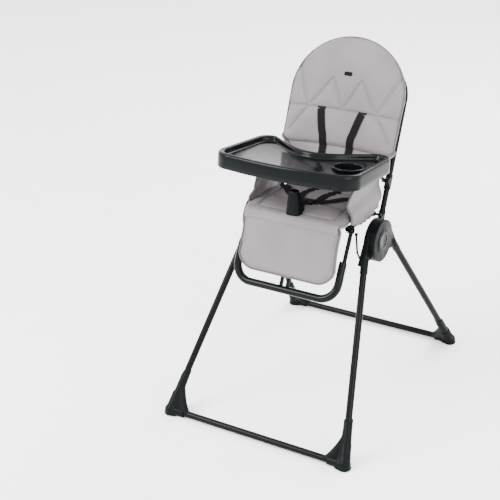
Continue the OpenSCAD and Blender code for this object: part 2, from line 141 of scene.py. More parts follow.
def grid_faces(rows: int, cols: int, wrap: bool) -> Array:
    """Quads that join each point of a grid to its next row and next column.

    Args:
        rows: number of rows.
        cols: number of points in a row.
        wrap: True if the last point of a row joins the first.

    Returns:
        Quads, one per line, as point numbers.
    """
    r, c = np.meshgrid(np.arange(rows - 1), np.arange(cols if wrap else cols - 1), indexing="ij")
    n = (c + 1) % cols
    return np.stack([r * cols + c, r * cols + n, (r + 1) * cols + n, (r + 1) * cols + c], -1).reshape(-1, 4)


def new_mesh(name: str, points: Array, faces: Sequence, uv: Optional[Array] = None) -> bpy.types.Object:
    """Makes an object of the points and faces, with its doubles merged and its faces outwards.

    Args:
        name: the piece's name.
        points: one point per line.
        faces: point numbers of each face.
        uv: one pair per point, where the finish follows the surface.

    Returns:
        The new object at the origin.
    """
    mesh = bpy.data.meshes.new(name)
    mesh.from_pydata(points.reshape(-1, 3).tolist(), [], [list(f) for f in faces])
    if uv is not None:
        layer = mesh.uv_layers.new(name="length_wise")
        corner = np.zeros(len(mesh.loops), np.int32)
        mesh.loops.foreach_get("vertex_index", corner)
        layer.data.foreach_set("uv", uv.reshape(-1, 2)[corner].astype(np.float32).ravel())
    work = bmesh.new()
    work.from_mesh(mesh)
    bmesh.ops.remove_doubles(work, verts=work.verts, dist=1e-6)
    bmesh.ops.recalc_face_normals(work, faces=work.faces)
    work.to_mesh(mesh)
    work.free()
    mesh.shade_smooth()
    piece = bpy.data.objects.new(name, mesh)
    bpy.context.scene.collection.objects.link(piece)
    return piece


def loft(name: str, rings: Array, capped: bool = True, uv: Optional[Array] = None) -> bpy.types.Object:
    """A closed skin over rings of points, with a pole in the middle of each end ring.

    Args:
        name: the piece's name.
        rings: rows x columns x 3, each row a closed ring.
        capped: True to close both ends.
        uv: rows x columns x 2, if the finish follows the surface.

    Returns:
        The new object.
    """
    rows, cols = rings.shape[:2]
    points, faces = rings.reshape(-1, 3), grid_faces(rows, cols, True).tolist()
    pairs = None if uv is None else uv.reshape(-1, 2)
    if capped:
        base, ends = len(points), (rings[0].mean(0), rings[-1].mean(0))
        points = np.vstack([points, ends])
        if pairs is not None:
            pairs = np.vstack([pairs, uv[0].mean(0), uv[-1].mean(0)])
        c = np.arange(cols)
        n, last = (c + 1) % cols, (rows - 1) * cols
        faces += np.stack([n, c, np.full(cols, base)], -1).tolist()
        faces += np.stack([c + last, n + last, np.full(cols, base + 1)], -1).tolist()
    return new_mesh(name, points, faces, pairs)


def resample(points: Array, count: int, closed: bool = False) -> Array:
    """A smooth curve through the points, at even steps of its length.

    Between two points the curve is a cubic whose end slopes are half the step from the point before
    to the point after (Catmull and Rom).

    Args:
        points: the points it passes, one per line.
        count: number of points wanted.
        closed: True if the last joins the first.

    Returns:
        count points.
    """
    p = np.asarray(points, float)
    q = np.vstack([p[-1:], p, p[:2]]) if closed else np.vstack(
        [2 * p[:1] - p[1:2], p, 2 * p[-1:] - p[-2:-1]]
    )
    a, b, c, d = q[:-3, None], q[1:-2, None], q[2:-1, None], q[3:, None]
    t = np.linspace(0, 1, 24, endpoint=False)[None, :, None]
    fine = 0.5 * (2 * b + (c - a) * t + (2 * a - 5 * b + 4 * c - d) * t**2 + (3 * b - a - 3 * c + d) * t**3)
    fine = fine.reshape(-1, p.shape[1])
    fine = np.vstack([fine, fine[:1] if closed else p[-1:]])
    run = np.concatenate([[0], np.cumsum(np.linalg.norm(np.diff(fine, axis=0), axis=1))])
    at = np.linspace(0, run[-1], count, endpoint=not closed)
    return np.stack([np.interp(at, run, fine[:, k]) for k in range(p.shape[1])], -1)


def unit(v: Array) -> Array:
    """Each line of v at length 1."""
    return v / np.maximum(np.linalg.norm(v, axis=-1, keepdims=True), 1e-12)


def sweep(name: str, path: Array, section: Array, up: Array, closed: bool = False) -> bpy.types.Object:
    """A profile carried along a path: point = path + side x section's first + up x section's second.

    Args:
        name: the piece's name.
        path: one point per line.
        section: closed profile, pairs of (across, outwards).
        up: outward direction, one for all or one per path point.
        closed: True if the path is a loop.

    Returns:
        The new object, with a UV map of (across, along) in metres.
    """
    ahead = np.roll(path, -1, 0) - np.roll(path, 1, 0) if closed else np.gradient(path, axis=0)
    ahead = unit(ahead)
    side = unit(np.cross(ahead, np.broadcast_to(up, path.shape)))
    out = np.cross(side, ahead)
    rings = path[:, None] + side[:, None] * section[None, :, :1] + out[:, None] * section[None, :, 1:]
    run = np.concatenate([[0], np.cumsum(np.linalg.norm(np.diff(path, axis=0), axis=1))])
    uv = np.stack(np.broadcast_arrays(section[None, :, 0], run[:, None]), -1)
    if closed:
        rings, uv = np.concatenate([rings, rings[:1]]), np.concatenate([uv, uv[:1]])
    return loft(name, rings, not closed, uv)


def round_section(radius: float, count: int = 14) -> Array:
    """A circle of points: (r cos a, r sin a)."""
    a = np.linspace(0, 2 * math.pi, count, endpoint=False)
    return radius * np.stack([np.cos(a), np.sin(a)], -1)


def strap_section(width: float, thick: float) -> Array:
    """A flat woven strap: a superellipse with rounded selvedges, |2x/w|^5 + |2z/t|^2 = 1."""
    a = np.linspace(0, 2 * math.pi, 28, endpoint=False)
    c, s = np.cos(a), np.sin(a)
    return np.stack([width / 2 * np.sign(c) * np.abs(c) ** 0.4, thick / 2 * s], -1)


def turned(
    name: str, profile: Sequence, place: Placement, centre: Sequence[float], count: int = 64
) -> bpy.types.Object:
    """A profile of (radius, height) turned about a local Z axis.

    Args:
        name: the piece's name.
        profile: pairs from one pole or rim to the other.
        place: local frame of the axis.
        centre: local point on the axis.
        count: points in a ring.

    Returns:
        The new object.
    """
    p, a = np.array(profile, float), np.linspace(0, 2 * math.pi, count, endpoint=False)
    rings = np.stack(
        [p[:, :1] * np.cos(a), p[:, :1] * np.sin(a), np.broadcast_to(p[:, 1:], (len(p), count))], -1
    )
    return loft(name, place.place(rings + np.array(centre)))


def baked(piece: bpy.types.Object) -> bpy.types.Object:
    """Applies the piece's modifiers to its mesh."""
    bpy.context.view_layer.update()
    graph = bpy.context.evaluated_depsgraph_get()
    mesh = bpy.data.meshes.new_from_object(piece.evaluated_get(graph))
    piece.modifiers.clear()
    piece.data = mesh
    return piece


def with_modifier(piece: bpy.types.Object, kind: str, **settings: object) -> bpy.types.Object:
    """Adds one modifier, sets its values and applies it."""
    made = piece.modifiers.new(kind.title(), kind)
    for key, value in settings.items():
        setattr(made, key, value)
    return baked(piece)


def crisp(piece: bpy.types.Object, degrees: float) -> bpy.types.Object:
    """Smooth shading that breaks where faces meet at more than this angle."""
    piece.data.shade_smooth()
    piece.data.set_sharp_from_angle(angle=math.radians(degrees))
    return piece


def points_of(piece: bpy.types.Object) -> Array:
    """The piece's vertices, one per line."""
    co = np.zeros(len(piece.data.vertices) * 3, np.float32)
    piece.data.vertices.foreach_get("co", co)
    return co.reshape(-1, 3).astype(float)


def move_points(piece: bpy.types.Object, points: Array) -> None:
    """Writes the vertices back."""
    piece.data.vertices.foreach_set("co", points.astype(np.float32).ravel())
    piece.data.update()


def smoothstep(value: Array, low: float, high: float) -> Array:
    """0 below low, 1 above high, and 3t^2 - 2t^3 between."""
    t = np.clip((value - low) / (high - low), 0, 1)
    return t * t * (3 - 2 * t)


def near_lines(points: Array, lines: Sequence[Array]) -> Array:
    """Distance in a plane from each point to the nearest of the lines.

    Args:
        points: pairs, one per line.
        lines: each a row of pairs.

    Returns:
        One distance per point.
    """
    best = np.full(len(points), 1e9)
    for line in lines:
        a, b = np.asarray(line[:-1], float), np.asarray(line[1:], float)
        ab = b - a
        t = np.clip(((points[:, None] - a) * ab).sum(-1) / np.maximum((ab * ab).sum(-1), 1e-12), 0, 1)
        best = np.minimum(best, np.linalg.norm(points[:, None] - a - t[..., None] * ab, axis=-1).min(1))
    return best


# ------------------------------------------------------------------ finishes


class Tree:
    """Adds and links shader nodes in one node tree."""

    def __init__(self, tree: bpy.types.NodeTree) -> None:
        """Keeps the tree."""
        self.tree = tree

    def add(self, kind: str, inputs: Optional[dict] = None, **settings: object) -> bpy.types.Node:
        """One node.

        Args:
            kind: Blender's name of the node type.
            inputs: value or socket for each input, by name or number.
            settings: the node's own properties.

        Returns:
            The node.
        """
        node = self.tree.nodes.new(kind)
        for key, value in settings.items():
            setattr(node, key, value)
        for key, value in (inputs or {}).items():
            if isinstance(value, bpy.types.NodeSocket):
                self.tree.links.new(value, node.inputs[key])
            else:
                node.inputs[key].default_value = value
        return node

    def math(self, operation: str, a: object, b: object = 0.0) -> bpy.types.NodeSocket:
        """One sum on two values."""
        return self.add("ShaderNodeMath", {0: a, 1: b}, operation=operation).outputs[0]

    def spread(
        self, value: object, low: object, high: object, to: tuple = (0.0, 1.0)
    ) -> bpy.types.NodeSocket:
        """The value's range low..high carried to another range, with soft ends."""
        sockets = {"Value": value, "From Min": low, "From Max": high, "To Min": to[0], "To Max": to[1]}
        return self.add("ShaderNodeMapRange", sockets, interpolation_type="SMOOTHSTEP").outputs[0]

    def noise(self, where: object, scale: object, detail: float = 3.0) -> bpy.types.NodeSocket:
        """Noise at a scale, from 0 to 1."""
        return self.add(
            "ShaderNodeTexNoise", {"Vector": where, "Scale": scale, "Detail": detail}
        ).outputs[0]

    def mix(self, factor: object, a: object, b: object) -> bpy.types.NodeSocket:
        """Colour between a and b."""
        return self.add("ShaderNodeMix", {0: factor, 6: a, 7: b}, data_type="RGBA").outputs[2]


def shader_group(
    name: str, inputs: dict[str, float], outputs: Sequence[str]
) -> tuple[Tree, bpy.types.Node, bpy.types.Node]:
    """An empty node group with float sockets.

    Args:
        name: the group's name.
        inputs: default of each named input.
        outputs: names of the outputs.

    Returns:
        Its tree, its input node and its output node.
    """
    group = bpy.data.node_groups.new(name, "ShaderNodeTree")
    for key, value in inputs.items():
        group.interface.new_socket(key, in_out="INPUT", socket_type="NodeSocketFloat").default_value = value
    for key in outputs:
        group.interface.new_socket(key, in_out="OUTPUT", socket_type="NodeSocketFloat")
    tree = Tree(group)
    return tree, tree.add("NodeGroupInput"), tree.add("NodeGroupOutput")


class Effects:
    """The effects that several finishes share, each a node group that is built once."""

    def __init__(self) -> None:
        """Builds the four groups."""
        self.groups = {g.name: g for g in (self._grain(), self._wear(), self._hide_grain(), self._dust())}

    def use(self, tree: Tree, name: str, **values: float) -> bpy.types.Node:
        """Places a group in a material with its own values.

        Args:
            tree: the material's tree.
            name: the group's name.
            values: value of each input, with _ for a space.

        Returns:
            The group node.
        """
        node = tree.add("ShaderNodeGroup", node_tree=self.groups[name])
        for key, value in values.items():
            node.inputs[key.replace("_", " ")].default_value = value
        return node

    @staticmethod
    def _where(tree: Tree) -> bpy.types.NodeSocket:
        """The surface's own Object coordinates."""
        return tree.add("ShaderNodeTexCoord").outputs["Object"]

    def _grain(self) -> bpy.types.NodeTree:
        """Moulded grain: fine noise added to a third as much coarse noise."""
        tree, given, made = shader_group("grain", {"Scale": 900.0, "Coarse": 60.0}, ["Height", "Mottle"])
        where = self._where(tree)
        coarse = tree.noise(where, given.outputs["Coarse"], 4)
        height = tree.math(
            "ADD", tree.noise(where, given.outputs["Scale"], 2), tree.math("MULTIPLY", coarse, 0.35)
        )
        tree.tree.links.new(height, made.inputs["Height"])
        tree.tree.links.new(coarse, made.inputs["Mottle"])
        return tree.tree

    def _wear(self) -> bpy.types.NodeTree:
        """Rubbed places: a coarse noise above a limit, broken up by long fine scratches."""
        tree, given, made = shader_group("wear", {"Scale": 28.0, "Amount": 0.4}, ["Mask"])
        where = self._where(tree)
        stretched = tree.add(
            "ShaderNodeMapping", {"Vector": where, "Scale": (1.0, 9.0, 2.0), "Rotation": (0.3, 0.2, 0.9)}
        )
        fine = tree.spread(tree.noise(stretched.outputs[0], 160.0, 5), 0.52, 0.68)
        broad = tree.spread(tree.noise(where, given.outputs["Scale"], 3), 0.48, 0.72)
        mask = tree.math("MULTIPLY", tree.math("MULTIPLY", fine, broad), given.outputs["Amount"])
        tree.tree.links.new(mask, made.inputs["Mask"])
        return tree.tree

    def _hide_grain(self) -> bpy.types.NodeTree:
        """Pebbled hide: soft cells of two sizes, with the creases between them as a mask."""
        tree, given, made = shader_group(
            "hide_grain", {"Scale": 620.0, "Softness": 0.5}, ["Height", "Crease"]
        )
        where = self._where(tree)
        cells = tree.add(
            "ShaderNodeTexVoronoi", {"Vector": where, "Scale": given.outputs["Scale"]},
            feature="DISTANCE_TO_EDGE"
        )
        # This crease mask also darkens the cover colour in Hide, as painted shade in the recesses.
        crease = tree.spread(cells.outputs[0], 0.0, 0.12, (1.0, 0.0))
        bulk = tree.math("MULTIPLY", tree.noise(where, 210.0, 4), given.outputs["Softness"])
        tree.tree.links.new(
            tree.math("SUBTRACT", bulk, tree.math("MULTIPLY", crease, 0.45)), made.inputs["Height"]
        )
        tree.tree.links.new(crease, made.inputs["Crease"])
        return tree.tree

    def _dust(self) -> bpy.types.NodeTree:
        """Dust on what faces up: the normal's height, broken up by noise."""
        tree, given, made = shader_group("dust", {"Amount": 0.3}, ["Mask"])
        up = tree.add(
            "ShaderNodeSeparateXYZ", {0: tree.add("ShaderNodeNewGeometry").outputs["Normal"]}
        ).outputs[2]
        patch = tree.spread(tree.noise(self._where(tree), 45.0, 6), 0.4, 0.75)
        mask = tree.math(
            "MULTIPLY", tree.math("MULTIPLY", tree.spread(up, 0.25, 1.0), patch), given.outputs["Amount"]
        )
        tree.tree.links.new(mask, made.inputs["Mask"])
        return tree.tree


Colour = tuple[float, float, float, float]


@dataclass(frozen=True)
class Finish:
    """What all finishes share: a name, a slot and a way to make the material."""

    name: str
    slot: Slot

    def material(self, effects: Effects) -> bpy.types.Material:
        """Makes the material, or hands back the one made before."""
        found = bpy.data.materials.get(self.name)
        if found:
            return found
        made = bpy.data.materials.new(self.name)
        made.use_nodes = True
        made.node_tree.nodes.clear()
        tree = Tree(made.node_tree)
        shader = tree.add("ShaderNodeBsdfPrincipled")
        tree.add("ShaderNodeOutputMaterial", {"Surface": shader.outputs[0]})
        self.dress(tree, shader, effects)
        return made

    def dress(self, tree: Tree, shader: bpy.types.Node, effects: Effects) -> None:
        """Fills in the shader; each finish has its own."""
        raise NotImplementedError

    @staticmethod
    def bump(tree: Tree, shader: bpy.types.Node, height: object, strength: float, distance: float) -> None:
        """Joins a height to the shader's normal."""
        node = tree.add("ShaderNodeBump", {"Height": height, "Strength": strength, "Distance": distance})
        tree.tree.links.new(node.outputs[0], shader.inputs["Normal"])


@dataclass(frozen=True)
class Moulding(Finish):
    """Moulded plastic or powder coat: grain, mottled gloss, rubbed places and a little dust."""

    colour: Colour = (0.0024, 0.0032, 0.0034, 1)
    rubbed: Colour = (0.0045, 0.0055, 0.0055, 1)
    gloss: tuple[float, float] = (0.30, 0.46)
    grain: float = 1100.0
    depth: float = 0.12
    coat: float = 0.0
    metal: float = 0.0
    dust: float = 0.06
    shine: float = 0.05

    def dress(self, tree: Tree, shader: bpy.types.Node, effects: Effects) -> None:
        """Joins the grain, wear and dust groups to the shader."""
        grain = effects.use(tree, "grain", Scale=self.grain, Coarse=self.grain / 18)
        wear = effects.use(tree, "wear", Scale=24.0, Amount=0.2)
        dust = effects.use(tree, "dust", Amount=self.dust)
        base = tree.mix(wear.outputs["Mask"], self.colour, self.rubbed)
        colour = tree.mix(dust.outputs["Mask"], base, (0.020, 0.0195, 0.019, 1))
        gloss = tree.spread(grain.outputs["Mottle"], 0.3, 0.7, self.gloss)
        rough = tree.math("ADD", gloss, tree.math("MULTIPLY", wear.outputs["Mask"], 0.18))
        tree.tree.links.new(colour, shader.inputs["Base Color"])
        tree.tree.links.new(rough, shader.inputs["Roughness"])
        shader.inputs["Metallic"].default_value = self.metal
        shader.inputs["Coat Weight"].default_value = self.coat
        shader.inputs["Coat Roughness"].default_value = 0.06
        shader.inputs["Specular IOR Level"].default_value = self.shine
        self.bump(tree, shader, grain.outputs["Height"], self.depth, 0.0004)


@dataclass(frozen=True)
class Hide(Finish):
    """Wipe-clean cover cloth with a fine pebbled grain, soft creases, slow random changes of tone, and painted
    shade that darkens the grain's creases.
    """

    light: Colour = (0.150, 0.134, 0.142, 1)
    dark: Colour = (0.118, 0.105, 0.112, 1)
    grain: float = 640.0

    def dress(self, tree: Tree, shader: bpy.types.Node, effects: Effects) -> None:
        """Joins the hide grain, the broad random tone and the painted shade in the grain's creases to the
        shader.
        """
        hide = effects.use(tree, "hide_grain", Scale=self.grain, Softness=0.6)
        where = tree.add("ShaderNodeTexCoord").outputs["Object"]
        broad = tree.spread(tree.noise(where, 11.0, 4), 0.3, 0.7)
        # Partly random tone and partly painted shade: the broad noise is random tone, and the crease term
        # darkens the colour in the grain's creases as painted shade.
        shade = tree.math(
            "MAXIMUM", tree.math("MULTIPLY", broad, 0.6),
            tree.math("MULTIPLY", hide.outputs["Crease"], 0.55)
        )
        tree.tree.links.new(tree.mix(shade, self.light, self.dark), shader.inputs["Base Color"])
        tree.tree.links.new(tree.spread(broad, 0, 1, (0.48, 0.62)), shader.inputs["Roughness"])
        shader.inputs["Sheen Weight"].default_value = 0.03
        shader.inputs["Specular IOR Level"].default_value = 0.16
        shader.inputs["Sheen Roughness"].default_value = 0.5
        self.bump(tree, shader, hide.outputs["Height"], 0.35, 0.0006)


@dataclass(frozen=True)
class Woven(Finish):
    """Woven webbing or binding: slanted ribs and cross threads that follow the strap's own length."""

    colour: Colour = (0.0035, 0.0030, 0.0035, 1)
    thread: Colour = (0.010, 0.009, 0.010, 1)
    ribs: float = 1500.0

    def dress(self, tree: Tree, shader: bpy.types.Node, effects: Effects) -> None:
        """Crosses two sets of waves on the strap's UV map."""
        where = tree.add("ShaderNodeUVMap", uv_map="length_wise").outputs[0]
        turned_cloth = tree.add("ShaderNodeMapping", {"Vector": where, "Rotation": (0, 0, 0.6)}).outputs[0]
        along = tree.add(
            "ShaderNodeTexWave", {"Vector": turned_cloth, "Scale": self.ribs / 6.3, "Distortion": 0.6}
        ).outputs["Fac"]
        across = tree.add(
            "ShaderNodeTexWave", {"Vector": where, "Scale": self.ribs / 6.3, "Distortion": 0.4},
            bands_direction="Y"
        )
        height = tree.math("MULTIPLY", along, across.outputs["Fac"])
        fuzz = effects.use(tree, "grain", Scale=2600.0, Coarse=90.0)
        shade = tree.math("MULTIPLY", height, tree.math("ADD", fuzz.outputs["Mottle"], 0.3))
        tree.tree.links.new(tree.mix(shade, self.colour, self.thread), shader.inputs["Base Color"])
        tree.tree.links.new(tree.spread(height, 0, 1, (0.85, 0.6)), shader.inputs["Roughness"])
        shader.inputs["Sheen Weight"].default_value = 0.02
        shader.inputs["Specular IOR Level"].default_value = 0.06
        self.bump(
            tree, shader, tree.math("ADD", height, tree.math("MULTIPLY", fuzz.outputs["Height"], 0.3)),
            0.6, 0.0005
        )


PLASTIC = Moulding("moulded black plastic", Slot.PLASTIC)
GLOSS = Moulding(
    "glossy black plastic", Slot.GLOSS, colour=(0.0020, 0.0028, 0.0032, 1), gloss=(0.11, 0.2), depth=0.03,
    coat=0.07, dust=0.03
)
TUBE = Moulding(
    "black powder coat", Slot.TUBE, colour=(0.0024, 0.0029, 0.0031, 1), gloss=(0.2, 0.3), grain=1700.0,
    depth=0.1, coat=0.03, dust=0.05
)
ZINC = Moulding(
    "zinc plate", Slot.ZINC, (0.16, 0.16, 0.17, 1), (0.10, 0.097, 0.094, 1), (0.26, 0.42), 900.0, 0.06,
    0.0, 1.0, 0.1
)
RUBBER = Moulding(
    "foot rubber", Slot.RUBBER, (0.0030, 0.0030, 0.0030, 1), (0.007, 0.007, 0.007, 1), (0.75, 0.9), 700.0,
    0.3
)
COVER = Hide("wipe-clean cover", Slot.COVER)
PIPING = Hide("cover piping", Slot.COVER, (0.085, 0.076, 0.080, 1), (0.062, 0.055, 0.058, 1), 900.0)
THREAD = Woven("stitching thread", Slot.COVER, (0.075, 0.068, 0.072, 1), (0.135, 0.122, 0.128, 1), 3000.0)
STRAP = Woven("harness webbing", Slot.WEBBING)


@dataclass
class Workshop:
    """Hands out finishes, books each piece to its body, and hides the nodes that it stands for."""

    effects: Effects = field(default_factory=Effects)
    made: int = 0

    def book(
        self, piece: bpy.types.Object, finish: Finish, body: Optional[str], nodes: Sequence[str] = ()
    ) -> bpy.types.Object:
        """Dresses a piece and puts it on its body.

        Args:
            piece: the new piece.
            finish: its finish.
            body: the body it rides on, or None where it is blended afterwards.
            nodes: the CAD nodes that it stands for.

        Returns:
            The piece.
        """
        piece.data.materials.clear()
        piece.data.materials.append(finish.material(self.effects))
        if body:
            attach(piece, body)
        if nodes:
            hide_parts(*nodes)
        self.made += 1
        log.info("%s: %d faces, %s", piece.name, len(piece.data.polygons), finish.name)
        return piece

    def soften(self, node: str, finish: Finish, bevel: float, angle: float = 35.0) -> bpy.types.Object:
        """Stands a copy with rounded edges in a node's place.

        The copy's doubles are merged, its flat parts are made one face each, and every edge sharper
        than the angle is rounded over the bevel's width.

        Args:
            node: the CAD node.
            finish: its finish.
            bevel: width of the rounding, 0 for none.
            angle: the least angle that is rounded, in degrees.

        Returns:
            The piece.
        """
        source = frame["nodes"][node]
        mesh = source.data.copy()
        if mesh.has_custom_normals:
            mesh.attributes.remove(mesh.attributes["custom_normal"])
        work = bmesh.new()
        work.from_mesh(mesh)
        bmesh.ops.remove_doubles(work, verts=work.verts, dist=2e-6)
        bmesh.ops.dissolve_limit(work, angle_limit=math.radians(0.6), verts=work.verts, edges=work.edges)
        work.to_mesh(mesh)
        work.free()
        mesh.name = node + "_skin"
        piece = bpy.data.objects.new(node + "_skin", mesh)
        bpy.context.scene.collection.objects.link(piece)
        if bevel > 0:
            settings = {
                "width": bevel, "segments": 3, "limit_method": "ANGLE", "angle_limit": math.radians(angle)
            }
            with_modifier(piece, "BEVEL", use_clamp_overlap=True, **settings)
        crisp(piece, 44)
        return self.book(piece, finish, source["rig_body"], [node])

    def paint(self, node: str, finish: Finish) -> None:
        """Gives a CAD node that stays a better finish."""
        source = frame["nodes"][node]
        source.data.materials.clear()
        source.data.materials.append(finish.material(self.effects))


# ------------------------------------------------------------------ padded pieces


@dataclass
class Cushion:
    """A padded piece over an outline: crowned on the free face and flat on the face that rests."""

    name: str
    outline: Array
    place: Placement
    centre: tuple[float, float]
    thick: float
    middle: float
    free: float
    along: int
    cap: float = 0.006
    seams: Sequence[Array] = ()
    pressure: float = 4.0
    frames: int = 20
    voxel: float = 0.005

    def local(self, flat: Array, height: Array) -> Array:
        """Points of the outline's plane and a height in the placement's own order of axes.

        Args:
            flat: pairs in the cushion's plane.
            height: distance from its middle, positive to the free face.

        Returns:
            Local points.
        """
        third = self.middle + self.free * height
        parts = [
            flat[..., 0], third, flat[..., 1]
        ] if self.along == 2 else [flat[..., 0], flat[..., 1], third]
        return np.stack(np.broadcast_arrays(*parts), -1)

    def flat_of(self, local: Array) -> tuple[Array, Array]:
        """The reverse of local().

        Args:
            local: local points.

        Returns:
            Pairs in the cushion's plane, and heights towards the free face.
        """
        third = 3 - self.along
        return local[..., [0, self.along]], (local[..., third] - self.middle) * self.free

    def body(self) -> bpy.types.Object:
        """The closed form before it is filled.

        Ring k has angle a from 0 to pi, its size is sin(a)^0.22 of the outline and its height is half
        the thickness times cos(a), drawn to a soft square by a power of 0.55.

        Returns:
            The new object.
        """
        a = np.linspace(0.004, math.pi - 0.004, 40)
        rim_power, side_power, spread = 0.22, 0.55, 1.006
        size = np.sin(a) ** rim_power
        high = self.thick / 2 * np.sign(np.cos(a)) * np.abs(np.cos(a)) ** side_power
        middle = np.array(self.centre)
        flat = middle + size[:, None, None] * (self.outline[None] - middle) * spread
        shape = self.local(flat, np.broadcast_to(high[:, None], flat.shape[:2]))
        return loft(self.name, self.place.place(shape))

    def fill(self, piece: bpy.types.Object) -> None:
        """Blows the cover up from inside, and lets only the free face swell.

        Each point's rise m becomes m x cap / (|m| + cap), which is never more than the cap. The sewn
        outline stays where it is.
        """
        start = points_of(piece)
        cloth = piece.modifiers.new("Fill", "CLOTH")
        cloth.settings.use_pressure = True
        cloth.settings.uniform_pressure_force = self.pressure
        cloth.settings.effector_weights.gravity = 0.0
        cloth.settings.quality = 4
        cloth.point_cache.frame_start, cloth.point_cache.frame_end = 1, self.frames
        for step in range(1, self.frames + 1):
            bpy.context.scene.frame_set(step)
        end = points_of(baked(piece))
        bpy.context.scene.frame_set(1)
        flat, high = self.flat_of(self.place.local(start))
        rise = self.flat_of(self.place.local(end))[1] - high
        share = smoothstep(high, -0.35 * self.thick, 0.1 * self.thick)
        swollen = high + rise * share * self.cap / (np.abs(rise) + self.cap)
        move_points(piece, self.place.place(self.local(flat, swollen)))

    def press_seams(self, piece: bpy.types.Object) -> None:
        """Draws the cover in along its seams and lets the panels between them stand up.

        Height changes by puff x (1 - e^-(d/w)^2) - depth x e^-(d/n)^2, where d is the distance from
        the nearest seam.
        """
        local = self.place.local(points_of(piece))
        flat, high = self.flat_of(local)
        share = smoothstep(high, 0.0, 0.3 * self.thick)
        rim = near_lines(flat, [np.vstack([self.outline, self.outline[:1]])])
        crown_high, crown_wide, puff, puff_wide, depth, narrow = 0.0035, 0.045, 0.003, 0.02, 0.0038, 0.0042
        crown = crown_high * (1 - np.exp(-((rim / crown_wide) ** 2)))
        if len(self.seams):
            d = near_lines(flat, self.seams)
            crown = crown + puff * (1 - np.exp(-((d / puff_wide) ** 2)))
            crown = crown - depth * np.exp(-((d / narrow) ** 2))
        moved = self.local(flat, high + share * crown)
        move_points(piece, self.place.place(moved))

    def build(self, shop: Workshop, body: str, node: str, fill: float) -> bpy.types.Object:
        """Makes, fills, seams and books the cushion.

        Args:
            shop: the workshop.
            body: the body it rides on.
            node: the CAD node it stands for.
            fill: how full it is; not used.

        Returns:
            The cushion.
        """
        piece = with_modifier(self.body(), "REMESH", mode="VOXEL", voxel_size=self.voxel)
        self.fill(piece)
        with_modifier(piece, "SUBSURF", levels=1, render_levels=1)
        self.press_seams(piece)
        piece.data.shade_smooth()
        shop.book(piece, COVER, body, [node])
        return piece

    def edge(self, shift: float, high: float, count: int = 260) -> Array:
        """The outline as a path for piping.

        Args:
            shift: distance outside the outline.
            high: height towards the free face.
            count: number of points.

        Returns:
            Points in the chair's frame.
        """
        line = resample(self.outline, count, closed=True)
        ahead = unit(np.roll(line, -1, 0) - np.roll(line, 1, 0))
        out = np.stack([ahead[:, 1], -ahead[:, 0]], -1)
        inside = ((line - np.array(self.centre)) * out).sum(-1, keepdims=True) < 0
        line = line + np.where(inside, -out, out) * shift
        return self.place.place(self.local(line, np.full(count, high)))


def stitches(
    name: str, cushion: Cushion, piece: bpy.types.Object, lines: Sequence[Array], step: float = 0.0046
) -> bpy.types.Object:
    """Single stitches along seams, each a small rounded bar that lies on the cover.

    Args:
        name: the piece's name.
        cushion: the cushion that it is on.
        piece: the finished cushion.
        lines: the seams.
        step: distance from one stitch to the next.

    Returns:
        All the stitches as one object.
    """
    paths = [
        resample(
            line, max(2, int(np.linalg.norm(np.diff(line, axis=0), axis=1).sum() / step))
        ) for line in lines
    ]
    flat, ahead = np.vstack(paths), np.vstack([unit(np.gradient(p, axis=0)) for p in paths])
    above = cushion.place.place(cushion.local(flat, np.full(len(flat), 0.05)))
    down = Vector(cushion.place.turn(cushion.local(np.zeros(2), -1.0) - cushion.local(np.zeros(2), 0.0)))
    tree = BVHTree.FromPolygons(points_of(piece).tolist(), [list(p.vertices) for p in piece.data.polygons])
    hits = [tree.ray_cast(Vector(p), down) for p in above]
    kept = np.array([h[0] is not None and abs(h[1].dot(down)) > 0.6 for h in hits])
    spot = np.array([h[0] if h[0] is not None else (0, 0, 0) for h in hits])[kept]
    out = unit(np.array([h[1] if h[0] is not None else (0, 0, 1) for h in hits])[kept])
    out = np.where(((out * np.array(down)).sum(-1) > 0)[:, None], -out, out)
    long = cushion.local(ahead, np.zeros(len(ahead))) - cushion.local(np.zeros(2), 0.0)
    long = unit(cushion.place.turn(long)[kept])
    side = unit(np.cross(out, long))
    a, b = np.meshgrid(
        np.linspace(0, math.pi, 6), np.linspace(0, 2 * math.pi, 7, endpoint=False), indexing="ij"
    )
    bead = np.stack(
        [np.cos(a), np.sin(a) * np.cos(b), np.sin(a) * np.sin(b)], -1
    ).reshape(-1, 3) * (0.0017, 0.0005, 0.0004)
    basis = np.stack([long, side, out], 1)
    points = spot[:, None] + out[:, None] * 0.0001 + np.einsum("pk,nkd->npd", bead, basis)
    quads = grid_faces(6, 7, True)
    faces = (quads[None] + (np.arange(len(spot)) * 42)[:, None, None]).reshape(-1, 4)
    uv = np.tile(bead[:, :2], (len(spot), 1))
    return new_mesh(name, points, faces.tolist(), uv)


def on_surface(
    path: Array, pieces: Sequence[bpy.types.Object], away: Array, lift: float
) -> tuple[Array, Array]:
    """Lays a path on finished pieces.

    Args:
        path: points, one per line.
        pieces: what it lies on.
        away: direction from which it is laid.
        lift: how far it stands off the surface.

    Returns:
        The moved points and the direction away from the surface at each.
    """
    trees = [
        BVHTree.FromPolygons(
            points_of(p).tolist(), [list(f.vertices) for f in p.data.polygons]
        ) for p in pieces
    ]
    laid = []
    for point in path:
        start = Vector(point + away * 0.06)
        hits = [h for h in (t.ray_cast(start, Vector(-away), 0.09) for t in trees) if h[0] is not None]
        best = min(hits, key=lambda h: h[3]) if hits else None
        laid.append(np.array(best[0]) + away * lift if best else point)
    found = np.array(laid)
    kernel = np.array([1, 3, 5, 3, 1]) / 13
    padded_path = np.vstack([found[:1]] * 2 + [found] + [found[-1:]] * 2)
    soft = np.stack([np.convolve(padded_path[:, k], kernel, "valid") for k in range(3)], -1)
    high = np.maximum((found * away).sum(-1), (soft * away).sum(-1))
    soft = soft + (high - (soft * away).sum(-1))[:, None] * away
    return soft, np.broadcast_to(away, soft.shape)


# ------------------------------------------------------------------ the chair


